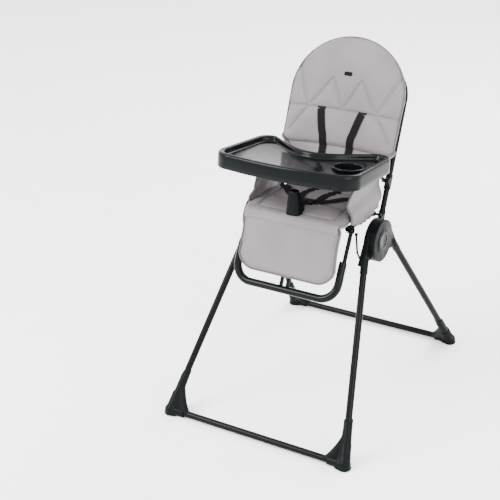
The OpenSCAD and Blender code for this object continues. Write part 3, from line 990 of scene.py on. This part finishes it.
@dataclass
class LegFrames:
    """The two crossed leg frames, their feet and their hubs."""

    foot: tuple[float, float, float] = (0.291, 0.3907, 0.013)
    socket_x: tuple[float, float] = (0.195, 0.210)
    socket: tuple[float, float] = (0.0714, 0.4972)
    web_up: float = 0.108
    web_in: float = 0.070
    web_thick: float = 0.022

    def web(self, name: str, mirror_x: float, mirror_y: float, top_x: float) -> bpy.types.Object:
        """The curved web between a leg and its floor bar.

        Its free edge is a quadratic curve from the leg to the bar. Each section runs from the foot's
        corner to that edge, with a half-round nose of the web's thickness.

        Args:
            name: the piece's name.
            mirror_x: 1 for the right foot, -1 for the left.
            mirror_y: -1 for the front frame, 1 for the rear.
            top_x: the leg's place across the chair at its hub.

        Returns:
            The web.
        """
        sign = np.array([mirror_x, mirror_y, 1.0])
        foot = np.array(self.foot)
        leg = unit(np.array([top_x, *self.socket]) - foot)
        bar = np.array([-1.0, 0, 0])
        t = np.linspace(0, 1, 34)[:, None]
        start, end = foot + leg * self.web_up, foot + bar * self.web_in
        pull = foot + leg * 0.036 + bar * 0.030
        edge = start * (1 - t) ** 2 + pull * 2 * t * (1 - t) + end * t**2
        ray = unit(edge - foot)
        root = foot + (edge - foot) * 0.12
        flat = unit(np.cross(leg, bar))
        a = np.linspace(-math.pi / 2, math.pi / 2, 11)
        half = self.web_thick / 2
        nose = (edge - ray * half)[:, None] + half * (
            np.cos(a)[None, :, None] * ray[:, None] + np.sin(a)[None, :, None] * flat
        )
        back = np.stack([root + flat * half * 0.8, root - flat * half * 0.8], 1)
        return loft(name, np.concatenate([nose, back], 1) * sign)

    def boot(self, name: str, mirror_x: float, mirror_y: float, top_x: float) -> bpy.types.Object:
        """The full, rounded boot round the lower end of a leg.

        Its sections run up the leg from the sole. Section k is a superellipse whose half sizes shrink
        from the sole's to the leg's with (1 - k)^2, and whose middle moves from inside the foot to the
        leg's own line.

        Args:
            name: the piece's name.
            mirror_x: 1 for the right foot, -1 for the left.
            mirror_y: -1 for the front frame, 1 for the rear.
            top_x: the leg's place across the chair at its hub.

        Returns:
            The boot.
        """
        foot = np.array(self.foot)
        leg = unit(np.array([top_x, *self.socket]) - foot)
        k = np.concatenate([[0.0, 0.0, 0.012], np.linspace(0.03, 1, 26)])[:, None]
        trim = np.concatenate([[0.9, 0.97, 0.995], np.ones(26)])[:, None]
        rise = np.concatenate([[0.0022, 0.0030, 0.0045], 0.006 + 0.109 * np.linspace(0.0, 1, 26)])[:, None]
        full = (1 - k) ** 2
        half_x = (0.0126 + 0.0130 * full) * trim
        half_y = (0.0126 + 0.0066 * full) * trim
        a = np.linspace(0, 2 * math.pi, 48, endpoint=False)[None]
        c, s = np.cos(a), np.sin(a)
        along = (rise - foot[2]) / leg[2]
        x = foot[0] + leg[0] * along - 0.0068 * full + half_x * np.sign(c) * np.abs(c) ** 0.8
        y = foot[1] + leg[1] * along * smoothstep(rise, 0.0, 0.03) + half_y * np.sign(s) * np.abs(s) ** 0.8
        rings = np.stack(np.broadcast_arrays(x, y, rise), -1)
        return loft(name, rings * np.array([mirror_x, mirror_y, 1.0]))

    def build(self, shop: Workshop) -> None:
        """Legs, bars, feet, webs and hubs."""
        for end, mirror_y in (("front", -1.0), ("rear", 1.0)):
            shop.soften(f"{end}_floor_bar", TUBE, 0.0)
            shop.paint(f"{end}_foot_pads", RUBBER)
            for side, mirror_x in (("right", 1.0), ("left", -1.0)):
                shop.soften(f"{end}_leg_{side}", TUBE, 0.0)
                shop.soften(f"{end}_foot_{side}", PLASTIC, 0.0012)
                shop.soften(f"{end}_hub_{side}", PLASTIC, 0.0024)
                web = self.web(f"{end}_foot_web_{side}", mirror_x, mirror_y, self.socket_x[end == "rear"])
                shop.book(web, PLASTIC, f"{end}_frame")
                boot = self.boot(f"{end}_boot_{side}", mirror_x, mirror_y, self.socket_x[end == "rear"])
                shop.book(boot, PLASTIC, f"{end}_frame")
        for side in ("right", "left"):
            shop.soften(f"hub_button_{side}", GLOSS, 0.0012)
            shop.soften(f"fold_link_{side}", TUBE, 0.0005)
        shop.soften("hub_pins", ZINC, 0.0008)


def back_outline(half: float = 0.184, low: float = 0.240, top: float = 0.572) -> Array:
    """Outline of the backrest: straight lower sides, and a head that is half an ellipse.

    Args:
        half: half width at the widest.
        low: lower edge, up the slope.
        top: top edge.

    Returns:
        Pairs of (across, up the slope), evenly spaced.
    """
    a = np.radians(np.linspace(0, 180, 41))
    head = np.stack([half * np.cos(a), top - 0.172 + 0.172 * np.sin(a)], -1)
    right = [
        [0.0, low + 0.006], [0.09, low + 0.004], [0.158, low], [0.176, low + 0.004], [0.1815, low + 0.018],
        [0.1825, low + 0.07]
    ]
    left = [[-x, u] for x, u in right[:0:-1]]
    return resample(np.vstack([right, head, left]), 220, closed=True)


@dataclass
class Backrest:
    """Backrest cushion with its quilting, its shell, frame tube, brackets and label."""

    front: float = 0.026
    thick: float = 0.020
    seam_u: float = 0.352
    cushion: Optional[bpy.types.Object] = None

    def seams(self) -> list[Array]:
        """The seam across and the zigzag that crosses it, in (across, up the slope)."""
        low = self.seam_u
        zigzag = [
            (-0.165, 0.468), (-0.110, low), (-0.046, 0.444), (0.0, low), (0.046, 0.444), (0.110, low),
            (0.165, 0.468)
        ]
        across = [(-0.181, low - 0.003), (-0.06, low), (0.06, low), (0.181, low - 0.003)]
        legs = [[(sign * 0.110, low), (sign * 0.162, 0.276)] for sign in (-1, 1)]
        return [np.array(line, float) for line in [across, zigzag, *legs]]

    def build(self, shop: Workshop) -> None:
        """Cushion, stitches, piping and the hard parts behind."""
        seams = self.seams()
        middle = self.front + self.thick / 2
        form = Cushion(
            "backrest_cushion", back_outline(), BACK, (0.0, 0.41), self.thick, middle, -1.0, 2, 0.006, seams
        )
        self.cushion = form.build(shop, "backrest", "back_cushion", 0.7)
        shop.book(stitches("backrest_stitching", form, self.cushion, seams), THREAD, "backrest")
        piping = sweep(
            "backrest_piping", form.edge(-0.0005, 0.0062), round_section(0.0021), BACK.turn((0, -1, 0)),
            True
        )
        shop.book(piping, PIPING, "backrest")
        shop.soften("back_board", PLASTIC, 0.0012)
        for side in ("right", "left"):
            shop.soften(f"back_bracket_{side}", PLASTIC, 0.0016)
            shop.soften(f"back_tube_{side}", TUBE, 0.0)
            shop.soften(f"tray_joint_{side}", PLASTIC, 0.0012)
        shop.soften("back_tube_top", TUBE, 0.0)
        shop.paint("back_screws", ZINC)
        self.label(shop)

    def label(self, shop: Workshop) -> None:
        """A small plain sewn label: a pillow-edged patch, x^6 + y^6 <= 1, laid on the cushion."""
        a = np.linspace(0, 2 * math.pi, 48, endpoint=False)
        c, s = np.cos(a), np.sin(a)
        rim = np.stack(
            [0.013 * np.sign(c) * np.abs(c) ** (1 / 3), 0.460 + 0.006 * np.sign(s) * np.abs(s) ** (1 / 3)],
            -1
        )
        centre = BACK.place(np.array([[0.0, self.front, 0.460]]))
        laid, _ = on_surface(centre, [self.cushion], BACK.turn((0, -1, 0)), 0.0)
        v = float(BACK.local(laid)[0, 1])
        steps = [(1.0, 0.002), (1.0, -0.0004), (0.96, -0.0009), (0.6, -0.0011), (0.2, -0.0011)]
        rings = np.array([[[x * k, v + h, 0.460 + (u - 0.460) * k] for x, u in rim] for k, h in steps])
        uv = rings[..., [0, 2]]
        shop.book(loft("back_label", BACK.place(rings), True, uv), STRAP, "backrest", ["sewn_label"])


def seat_outline(half: float = 0.160, front: float = -0.150, rear: float = 0.052) -> Array:
    """Outline of the seat: rounded front corners, sides drawn in by 3 mm and narrower at the rear."""
    right = [
        [0.0, front], [0.07, front], [0.136, front + 0.001], [0.154, front + 0.006], [half, front + 0.022]
    ]
    right += [[half - 0.002, -0.09], [half - 0.003, -0.05], [half - 0.001, -0.008], [half - 0.005, 0.014]]
    right += [[half - 0.021, rear - 0.008], [half - 0.032, rear - 0.001], [0.07, rear], [0.0, rear]]
    left = [[-x, y] for x, y in right[-2:0:-1]]
    return resample(np.array(right + left), 200, closed=True)


@dataclass
class Seat:
    """Seat cushion, side wings, the slack cloth behind, the post and the rails."""

    under: float = 0.598
    thick: float = 0.019
    wing_x: float = 0.1515
    cushion: Optional[bpy.types.Object] = None
    sling: Optional[bpy.types.Object] = None

    def build(self, shop: Workshop) -> None:
        """All of the seat."""
        outline = seat_outline()
        seams = [
            np.array([(-0.122, -0.132), (0.122, -0.132), (0.122, 0.028), (-0.122, 0.028), (-0.122, -0.132)])
        ]
        seams += [np.array([(-0.122, y), (0.122, y)]) for y in (-0.052,)]
        middle = self.under + self.thick / 2
        form = Cushion("seat_pad", outline, LEVEL, (0.0, -0.045), self.thick, middle, 1.0, 1, 0.005, seams)
        self.cushion = form.build(shop, "seat", "seat_cushion", 0.7)
        shop.book(stitches("seat_stitching", form, self.cushion, seams), THREAD, "seat")
        piping = sweep(
            "seat_piping", form.edge(-0.0005, 0.0056), round_section(0.002), np.array([0.0, 0, 1]), True
        )
        shop.book(piping, PIPING, "seat")
        for side, sign in (("right", 1.0), ("left", -1.0)):
            self.wing(shop, side, sign)
            shop.soften(f"seat_rail_{side}", TUBE, 0.0)
        self.slack(shop)
        self.knee(shop)
        shop.soften("seat_cross_tube", TUBE, 0.0)
        shop.soften("seat_board", PLASTIC, 0.0008)
        shop.soften("knee_brackets", PLASTIC, 0.0012)
        self.post(shop)

    def wing_grid(self, sign: float, rows: int = 40, cols: int = 60) -> Array:
        """The wing as a sheet between a lower and an upper edge.

        A point is lower(s) + t (upper(s) - lower(s)). Its place across the chair is the wing's line,
        plus a slow belly sin(pi s) sin(pi t), plus a ruffle near the lower edge, plus a flare at the
        upper rear corner where it wraps the backrest.

        Args:
            sign: 1 for the right wing, -1 for the left.
            rows: points from the lower edge to the upper.
            cols: points from front to rear.

        Returns:
            rows x cols x 3 points.
        """
        lower = resample(
            np.array([
                (-0.104, 0.606), (-0.075, 0.592), (-0.03, 0.583), (0.02, 0.583), (0.06, 0.594), (0.084, 0.616),
            ]),
            cols
        )
        upper = resample(
            np.array([
                (-0.098, 0.660), (-0.075, 0.684), (-0.03, 0.696), (0.03, 0.699), (0.072, 0.708),
                (0.10, 0.728), (0.142, 0.740),
            ]),
            cols
        )
        s, t = np.meshgrid(np.linspace(0, 1, cols), np.linspace(0, 1, rows))
        yz = lower[None] + t[..., None] * (upper - lower)[None]
        belly = 0.003 * np.sin(math.pi * s) * np.sin(math.pi * t)
        ruffle = 0.0022 * np.sin(s * 46) * (1 - smoothstep(t, 0.0, 0.4)) + 0.0009 * np.sin(s * 23 + 5 * t)
        flare = 0.034 * smoothstep(yz[..., 1], 0.700, 0.738) * smoothstep(yz[..., 0], 0.085, 0.140)
        skirt_out = 0.0145
        skirt = skirt_out * (1 - smoothstep(yz[..., 1], 0.622, 0.655))
        x = self.wing_x + belly + ruffle + flare + skirt
        return np.stack([sign * x, yz[..., 0], yz[..., 1]], -1)

    def wing(self, shop: Workshop, side: str, sign: float) -> None:
        """One padded wing and the binding round its edge."""
        grid = self.wing_grid(sign)
        rows, cols = grid.shape[:2]
        piece = new_mesh(f"side_wing_{side}_pad", grid, grid_faces(rows, cols, False).tolist())
        with_modifier(piece, "SOLIDIFY", thickness=0.0046, offset=0.0)
        piece.data.shade_smooth()
        shop.book(piece, COVER, None, [f"side_wing_{side}"])
        rim = np.vstack([grid[0], grid[1:, -1], grid[-1, -2::-1], grid[-2:0:-1, 0]])
        edge = sweep(
            f"side_wing_{side}_binding", resample(rim, 300, True), round_section(0.0031, 12),
            np.array([1.0, 0, 0]), True
        )
        shop.book(edge, PIPING, None)
        for made in (piece, edge):
            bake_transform(made)

    def slack(self, shop: Workshop) -> None:
        """The slack cloth between the backrest cushion and the seat.

        It follows one curve in the side view, and its folds are waves across the chair that die out at
        both seams.
        """
        side_view = resample(
            np.array([
                (0.135, 0.740), (0.121, 0.712), (0.103, 0.676), (0.086, 0.640), (0.066, 0.611),
                (0.056, 0.6048), (0.047, 0.6042),
            ]),
            44
        )
        x = np.linspace(-0.136, 0.136, 70)
        s = np.linspace(0, 1, 44)[:, None]
        fold = np.sin(math.pi * s) * (
            0.0022 * np.sin(x[None] * 75 + 2 * s) + 0.0014 * np.sin(x[None] * 31 + 3)
        )
        lean = unit(np.gradient(side_view, axis=0))
        out = np.stack([lean[:, 1], -lean[:, 0]], -1)
        y = side_view[:, :1] + out[:, :1] * fold
        z = side_view[:, 1:] + out[:, 1:] * fold
        widening = 0.22
        wider = 1 + widening * smoothstep(side_view[:, 1:], 0.690, 0.735)
        grid = np.stack(np.broadcast_arrays(x[None] * wider, y, z), -1)
        self.sling = new_mesh("seat_back_cloth", grid, grid_faces(44, 70, False).tolist())
        with_modifier(self.sling, "SOLIDIFY", thickness=0.0016, offset=0.0)
        self.sling.data.shade_smooth()
        shop.book(self.sling, COVER, None, ["back_sling"])
        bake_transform(self.sling)

    def knee(self, shop: Workshop) -> None:
        """The cover where it turns from the seat's front edge down to the leg rest.

        One curve in the side view is carried across the chair; small puckers, waves that grow towards
        its middle line, lift it by up to a millimetre.
        """
        line = [
            (-0.124, 0.6185), (-0.140, 0.6188), (-0.151, 0.6160), (-0.1575, 0.6085), (-0.1595, 0.600),
            (-0.1605, 0.590)
        ]
        side_view = resample(np.array(line), 26)
        x, s = np.linspace(-0.150, 0.150, 90)[None], np.linspace(0, 1, 26)[:, None]
        pucker = np.sin(math.pi * s) * (0.0008 * np.sin(x * 210) + 0.0006 * np.sin(x * 77 + 1))
        lean = unit(np.gradient(side_view, axis=0))
        y = side_view[:, :1] + lean[:, 1:] * pucker
        z = side_view[:, 1:] - lean[:, :1] * pucker
        grid = np.stack(np.broadcast_arrays(x, y, z), -1)
        piece = new_mesh("knee_cloth", grid, grid_faces(26, 90, False).tolist())
        with_modifier(piece, "SOLIDIFY", thickness=0.0016, offset=0.0)
        piece.data.shade_smooth()
        shop.book(piece, COVER, None)
        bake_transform(piece)

    def post(self, shop: Workshop) -> None:
        """The tapered post between the child's legs, its ribs and its rounded cap."""
        z = np.linspace(0, 1, 24)[:, None]
        a = np.linspace(0, 2 * math.pi, 56, endpoint=False)[None]
        c, s = np.cos(a), np.sin(a)
        half_x = 0.0230 - 0.0080 * z
        half_y = 0.0258 - 0.0138 * z
        rib = 0.0004 * np.cos(22 * math.pi * z) * smoothstep(np.abs(c), 0.75, 0.95)
        rib = rib * smoothstep(z, 0.05, 0.2)
        x = (half_x + rib) * np.sign(c) * np.abs(c) ** 0.5
        y = -0.126 - 0.007 * z + half_y * np.sign(s) * np.abs(s) ** 0.5
        height = 0.6175 + 0.0640 * z + 0 * a
        body = loft("post_body", np.stack(np.broadcast_arrays(x, y, height), -1))
        shop.book(body, PLASTIC, "seat", ["crotch_post"])
        b = np.linspace(0, math.pi / 2, 14)[:, None]
        x = 0.0142 * np.cos(b) ** 0.45 * np.sign(c) * np.abs(c) ** 0.55
        y = -0.133 + 0.0118 * np.cos(b) ** 0.6 * np.sign(s) * np.abs(s) ** 0.6
        cap = np.stack(np.broadcast_arrays(x, y, 0.6810 + 0.0104 * np.sin(b) + 0 * a), -1)
        cap = np.concatenate([cap[:1] - (0, 0, 0.003), cap])
        shop.book(loft("post_top", cap), GLOSS, "seat", ["post_cap"])


@dataclass
class Harness:
    """Shoulder straps, lap straps, adjusters and the buckle with its button."""

    width: float = 0.024
    thick: float = 0.0017

    def build(self, shop: Workshop, back: Backrest, seat: Seat) -> None:
        """All of the harness.

        Args:
            shop: the workshop.
            back: the finished backrest.
            seat: the finished seat.
        """
        away = unit(np.array([0.0, -0.85, 0.53]))
        section = strap_section(self.width, self.thick)
        for side, sign in (("right", 1.0), ("left", -1.0)):
            on_back = BACK.place(np.array([
                (0.067, 0.026, 0.349), (0.060, 0.026, 0.320), (0.051, 0.026, 0.285), (0.045, 0.026, 0.262),
            ]))
            on_seat = np.array([
                (0.040, 0.095, 0.664), (0.036, 0.060, 0.628), (0.034, 0.020, 0.619), (0.030, -0.048, 0.619),
            ])
            path = resample(np.vstack([on_back, on_seat]) * (sign, 1, 1), 90)
            laid, up = on_surface(path, [back.cushion, seat.cushion, seat.sling], away, 0.0022)
            strap = sweep(f"shoulder_strap_{side}_web", laid, section, up)
            shop.book(strap, STRAP, None, [f"shoulder_strap_{side}"])
            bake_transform(strap)
        up = np.array([0.0, 0, 1])
        for side, sign in (("right", 1.0), ("left", -1.0)):
            path = resample(
                np.array([
                    (0.128, 0.034, 0.619), (0.100, 0.008, 0.622), (0.070, -0.028, 0.624), (0.024, -0.062, 0.624),
                ]) * (sign, 1, 1),
                50
            )
            laid, tops = on_surface(path, [seat.cushion], up, 0.0022)
            shop.book(
                sweep(f"lap_strap_{side}", laid, section, tops), STRAP, "seat",
                ["lap_strap"] if sign > 0 else ()
            )
        path = resample(np.array([(0, -0.101, 0.6185), (0, -0.090, 0.6195), (0, -0.076, 0.622)]), 20)
        laid, tops = on_surface(path, [seat.cushion], up, 0.0022)
        shop.book(sweep("crotch_strap", laid, section, tops), STRAP, "seat")
        shop.soften("strap_adjusters", PLASTIC, 0.0014)
        shop.soften("buckle", PLASTIC, 0.0016)
        shop.soften("buckle_button", GLOSS, 0.0014)


def leg_pad_outline(half: float = 0.155, long: float = 0.158) -> Array:
    """Outline of the leg rest pad: square at the knee, large round corners at the foot."""
    a = np.radians(np.linspace(0, 90, 13))
    corner = np.stack([half - 0.054 + 0.054 * np.cos(a), -long + 0.050 - 0.050 * np.sin(a)], -1)
    side = [[0.0, 0.008], [0.07, 0.008], [half - 0.010, 0.007], [half - 0.001, 0.0]]
    side += [[half - 0.003, -0.05], [half - 0.002, -0.085]]
    right = np.vstack([side, corner[1:]])
    left = right[:0:-1] * (-1, 1)
    return resample(np.vstack([right, [[0.0, -long]], left]), 200, closed=True)


@dataclass
class LegRest:
    """Leg rest pad, its shell, the glossy foot bar and its tubes."""

    thick: float = 0.024
    side: float = 0.164
    low: float = 0.208
    start: float = 0.092
    bend: float = 0.052
    radius: float = 0.0115

    def sleeve(self) -> bpy.types.Object:
        """The foot bar as one tube along a U, a little fuller in its two bends."""
        right = [(self.side, 0, -self.start), (self.side, 0, -0.125), (self.side, 0, -self.low + self.bend)]
        a = np.radians(np.linspace(15, 75, 5))
        bend = [
            (
                self.side - self.bend + self.bend * math.cos(k), 0,
                -self.low + self.bend - self.bend * math.sin(k)
            ) for k in a
        ]
        half = np.array(right + bend + [(self.side - self.bend, 0, -self.low), (0.05, 0, -self.low)])
        path = resample(np.vstack([half, half[::-1] * (-1, 1, 1)]), 150)
        ahead = unit(np.gradient(path, axis=0))
        out = np.cross(ahead, np.array([0.0, 1, 0]))
        a = np.linspace(0, 2 * math.pi, 28, endpoint=False)
        run = np.linspace(0, 1, 150)
        full = self.radius * (
            1 + 0.05 * np.exp(-(((run - 0.2) / 0.06) ** 2)) + 0.05 * np.exp(-(((run - 0.8) / 0.06) ** 2))
        )
        full = full * (0.86 + 0.14 * smoothstep(np.minimum(run, 1 - run), 0.0, 0.012))
        ring = np.cos(a)[None, :, None] * out[:, None] + np.sin(a)[None, :, None] * np.array([0.0, 1, 0])
        return loft("foot_bar", FOOT_REST.place(path[:, None] + full[:, None, None] * ring))

    def build(self, shop: Workshop) -> None:
        """All of the leg rest."""
        form = Cushion(
            "leg_rest_pad", leg_pad_outline(), LEG_PAD, (0.0, -0.076), self.thick, 0.0, -1.0, 2, 0.006
        )
        pad = form.build(shop, "leg_rest", "leg_cushion", 0.75)
        rim = form.outline * 1.0
        inner = (rim - np.array(form.centre)) * np.array([0.93, 0.88]) + np.array(form.centre)
        shop.book(
            stitches("leg_rest_stitching", form, pad, [np.vstack([inner, inner[:1]])]), THREAD, "leg_rest"
        )
        piping = sweep(
            "leg_rest_piping", form.edge(-0.0003, 0.0085), round_section(0.0022), LEG_PAD.turn((0, -1, 0)),
            True
        )
        shop.book(piping, PIPING, "leg_rest")
        shop.book(self.sleeve(), GLOSS, "leg_rest", ["foot_sleeve"])
        shop.soften("leg_board", PLASTIC, 0.001)
        shop.soften("foot_struts", PLASTIC, 0.001)
        for side in ("right", "left"):
            shop.soften(f"foot_tube_{side}", TUBE, 0.0004)


@dataclass
class Tray:
    """The tray with its broad rim, cup well, arms and release levers."""

    half: float = 0.222
    long: float = 0.307
    hollow: float = 0.100
    bow: float = 0.016
    cup: tuple[float, float] = (0.142, -0.150)
    cup_r: float = 0.039

    def outline(self, inset: float) -> Array:
        """Outline at an inset: bowed front, two round corners a side and a hollow rear edge.

        The front is y0 - bow (1 - q^2), and the rear is -inset - hollow cos(q pi / 2)^1.2.

        Args:
            inset: distance in from the tray's outer wall.

        Returns:
            Pairs (across, forwards), the same number at each inset.
        """
        hw, rf, rr = self.half - inset, 0.058 - inset * 0.6, 0.040 - inset * 0.4
        y0 = -self.long + inset + self.bow
        q = np.linspace(-1, 1, 49)
        front = np.stack([(hw - rf) * q, y0 - self.bow * (1 - q**2)], -1)
        a = np.radians(np.linspace(-80, 0, 15))
        corner = np.stack([hw - rf + rf * np.cos(a), y0 + rf + rf * np.sin(a)], -1)
        b = np.radians(np.linspace(0, 90, 15))
        rear = np.stack([hw - 0.006 - rr + rr * np.cos(b), -inset - rr + rr * np.sin(b)], -1)
        right = np.vstack([corner, rear])
        q = np.linspace(1, -1, 71)[1:-1]
        span = hw - 0.006 - rr
        back = np.stack([span * q, -inset - self.hollow * np.cos(q * math.pi / 2) ** 1.2], -1)
        return np.vstack([front, right, back, right[::-1] * (-1, 1)])

    def shell(self) -> bpy.types.Object:
        """The moulding: a rim profile of (inset, height) carried round the outline.

        The profile climbs the outer wall, rolls over a broad rim with a shallow groove, and drops to
        the tray floor; a second run makes the inside of the wall and the underside of the floor.

        Returns:
            The shell, still without its cup well.
        """
        top = [
            (0.0012, -0.0220), (0.0, -0.0205), (0.0, -0.010), (0.0, 0.006), (0.0002, 0.0145),
            (0.0012, 0.0182), (0.0034, 0.0208)
        ]
        top += [
            (0.0062, 0.0219), (0.0082, 0.0217), (0.0094, 0.0206), (0.0104, 0.0200), (0.0116, 0.0205),
            (0.0130, 0.0207), (0.0148, 0.0198)
        ]
        top += [(0.0163, 0.0170), (0.0174, 0.0125), (0.0186, 0.0088), (0.0206, 0.0067), (0.0236, 0.0060)]
        under = [(0.003, 0.0028), (0.003, -0.010), (0.0028, -0.0215)]
        rings = [
            np.column_stack([self.outline(i), np.full(len(self.outline(i)), h)]) for i, h in under + top
        ]
        rings = np.array(rings)
        rows, cols = rings.shape[:2]
        faces = grid_faces(rows, cols, True).tolist()
        faces += [list(range(cols))[::-1], [(rows - 1) * cols + k for k in range(cols)]]
        return new_mesh("tray_top", TRAY.place(rings), faces)

    def cutter(self) -> bpy.types.Object:
        """What is cut from the shell: the cup well, two dimples at the rear and two slots for the arms."""
        count = 96
        a = np.linspace(0, 2 * math.pi, count, endpoint=False)
        wells = [(self.cup[0], self.cup[1], self.cup_r + 0.004, -0.05, 0.05)]
        wells += [(sign * 0.1976, -0.0184, 0.0052, 0.0196, 0.05) for sign in (1, -1)]
        cut = bpy.data.meshes.new("tray_cutter")
        work = bmesh.new()
        for x, y, r, low, high in wells:
            ring = np.stack([x + r * np.cos(a), y + r * np.sin(a)], -1)
            ends = [
                [
                    work.verts.new(p) for p in TRAY.place(
                        np.column_stack([ring, np.full(count, h)])
                    ).tolist()
                ] for h in (low, high)
            ]
            work.faces.new(ends[0][::-1])
            work.faces.new(ends[1])
            for k in range(count):
                work.faces.new((ends[0][k], ends[0][(k + 1) % count], ends[1][(k + 1) % count], ends[1][k]))
        for sign in (1, -1):
            centre = Vector(TRAY.place(np.array([sign * 0.172, -0.018, -0.013])))
            place = Matrix.Translation(centre) @ Matrix.Rotation(
                math.radians(TRAY.tilt), 4, "X"
            ) @ Matrix.Diagonal((0.038, 0.060, 0.022, 1))
            bmesh.ops.create_cube(work, size=1.0, matrix=place)
        bmesh.ops.recalc_face_normals(work, faces=work.faces)
        work.to_mesh(cut)
        work.free()
        piece = bpy.data.objects.new("tray_cutter", cut)
        bpy.context.scene.collection.objects.link(piece)
        return piece

    def build(self, shop: Workshop) -> None:
        """All of the tray."""
        shell, cutter = self.shell(), self.cutter()
        with_modifier(shell, "BOOLEAN", operation="DIFFERENCE", solver="EXACT", object=cutter)
        bpy.data.objects.remove(cutter)
        with_modifier(
            shell, "BEVEL", width=0.0008, segments=2, limit_method="ANGLE", angle_limit=math.radians(55),
            use_clamp_overlap=True
        )
        crisp(shell, 40)
        shop.book(shell, GLOSS, "tray", ["tray_shell"])
        r = self.cup_r
        well = [
            (0.0, -0.0172), (r - 0.004, -0.0172), (r + 0.0015, -0.014), (r + 0.0026, -0.008),
            (r + 0.0030, 0.004), (r + 0.0062, 0.0064)
        ]
        well += [
            (r + 0.0070, 0.0085), (r + 0.0066, 0.0107), (r + 0.0048, 0.0120), (r + 0.0024, 0.0120),
            (r + 0.0006, 0.0110), (r, 0.0090)
        ]
        well += [
            (r, -0.006), (r - 0.0012, -0.0118), (r - 0.005, -0.0148), (r - 0.016, -0.0150),
            (r - 0.017, -0.0143), (r - 0.019, -0.0150), (0.0, -0.0150)
        ]
        cup = turned("tray_cup_well", well, TRAY, (*self.cup, 0.0), 96)
        shop.book(crisp(cup, 50), GLOSS, "tray")
        shop.soften("tray_arms", TUBE, 0.0006)
        for side in ("right", "left"):
            shop.soften(f"tray_lever_{side}", PLASTIC, 0.0016)


# ------------------------------------------------------------------ the studio


@dataclass
class Studio:
    """Pale floor, soft lights and the camera."""

    turn: float = 27.69
    rise: float = 25.69
    distance: float = 3.454
    target: tuple[float, float, float] = (0.0005, 0.0, 0.4653)
    lens: float = 82.94
    pan: float = 3.30
    nod: float = 0.31
    roll: float = -0.14

    def camera(self) -> None:
        """Places the camera from its turn and rise about the target, then pans, nods and rolls it."""
        a, e = math.radians(self.turn), math.radians(self.rise)
        pan, nod, roll = (math.radians(v) for v in (self.pan, self.nod, self.roll))
        back = Vector((math.sin(a) * math.cos(e), -math.cos(a) * math.cos(e), math.sin(e)))
        right = Vector((math.cos(a), math.sin(a), 0))
        up = back.cross(right)
        at = Vector(self.target) + self.distance * back
        back, right = back * math.cos(pan) + right * math.sin(pan), right * math.cos(pan) - back * math.sin(pan)
        back, up = back * math.cos(nod) + up * math.sin(nod), up * math.cos(nod) - back * math.sin(nod)
        right, up = right * math.cos(roll) + up * math.sin(roll), up * math.cos(roll) - right * math.sin(roll)
        camera = bpy.data.objects.new("studio_camera", bpy.data.cameras.new("studio_camera"))
        camera.data.lens, camera.data.sensor_width = self.lens, 36.0
        camera.matrix_world = Matrix.Translation(at) @ Matrix((right, up, back)).transposed().to_4x4()
        bpy.context.scene.collection.objects.link(camera)
        bpy.context.scene.camera = camera

    def light(self, name: str, at: tuple, size: float, power: float) -> None:
        """One square area light that faces the chair.

        Args:
            name: the light's name.
            at: its place.
            size: its side.
            power: its power in watts.
        """
        data = bpy.data.lights.new(name, "AREA")
        data.size, data.energy = size, power
        lamp = bpy.data.objects.new(name, data)
        facing = (Vector(at) - Vector((0, 0, 0.5))).to_track_quat("Z", "Y")
        lamp.matrix_world = Matrix.Translation(at) @ facing.to_matrix().to_4x4()
        bpy.context.scene.collection.objects.link(lamp)

    def build(self, shop: Workshop) -> None:
        """Floor, world, lights and camera."""
        side = np.linspace(-40, 40, 12)
        grid = np.stack(np.broadcast_arrays(side[None], side[:, None], np.zeros((12, 12))), -1)
        floor = new_mesh("studio_floor", grid, grid_faces(12, 12, False).tolist())
        pale = bpy.data.materials.new("pale paper")
        pale.use_nodes = True
        tree = Tree(pale.node_tree)
        shader = pale.node_tree.nodes["Principled BSDF"]
        where = tree.add("ShaderNodeTexCoord").outputs["Object"]
        tree.tree.links.new(
            tree.mix(tree.noise(where, 3.0, 3), (0.93, 0.93, 0.93, 1), (0.9, 0.9, 0.9, 1)),
            shader.inputs["Base Color"]
        )
        shader.inputs["Roughness"].default_value = 0.9
        floor.data.materials.append(pale)
        world = bpy.data.worlds.new("studio")
        world.use_nodes = True
        sky = Tree(world.node_tree)
        seen = sky.add("ShaderNodeLightPath").outputs["Is Camera Ray"]
        backdrop = world.node_tree.nodes["Background"]
        sky.tree.links.new(sky.spread(seen, 0.0, 1.0, (3.2, 3.9)), backdrop.inputs["Strength"])
        backdrop.inputs["Color"].default_value = (1, 1, 1, 1)
        bpy.context.scene.world = world
        self.light("key", (-2.6, -2.8, 3.6), 2.4, 420)
        self.light("fill", (3.4, -1.6, 2.2), 2.6, 150)
        self.light("rim", (0.6, 3.2, 3.0), 2.0, 180)
        self.camera()
        log.info("studio: camera %.1f mm", self.lens)


def main() -> None:
    """Builds the chair in order."""
    logging.basicConfig(level=logging.INFO, format="%(name)s: %(message)s")
    shop = Workshop()
    studio, back, seat = Studio(), Backrest(), Seat()
    studio.build(shop)
    LegFrames().build(shop)
    back.build(shop)
    seat.build(shop)
    Harness().build(shop, back, seat)
    LegRest().build(shop)
    Tray().build(shop)
    log.info("%d pieces", shop.made)


if __name__ == "__main__":
    main()
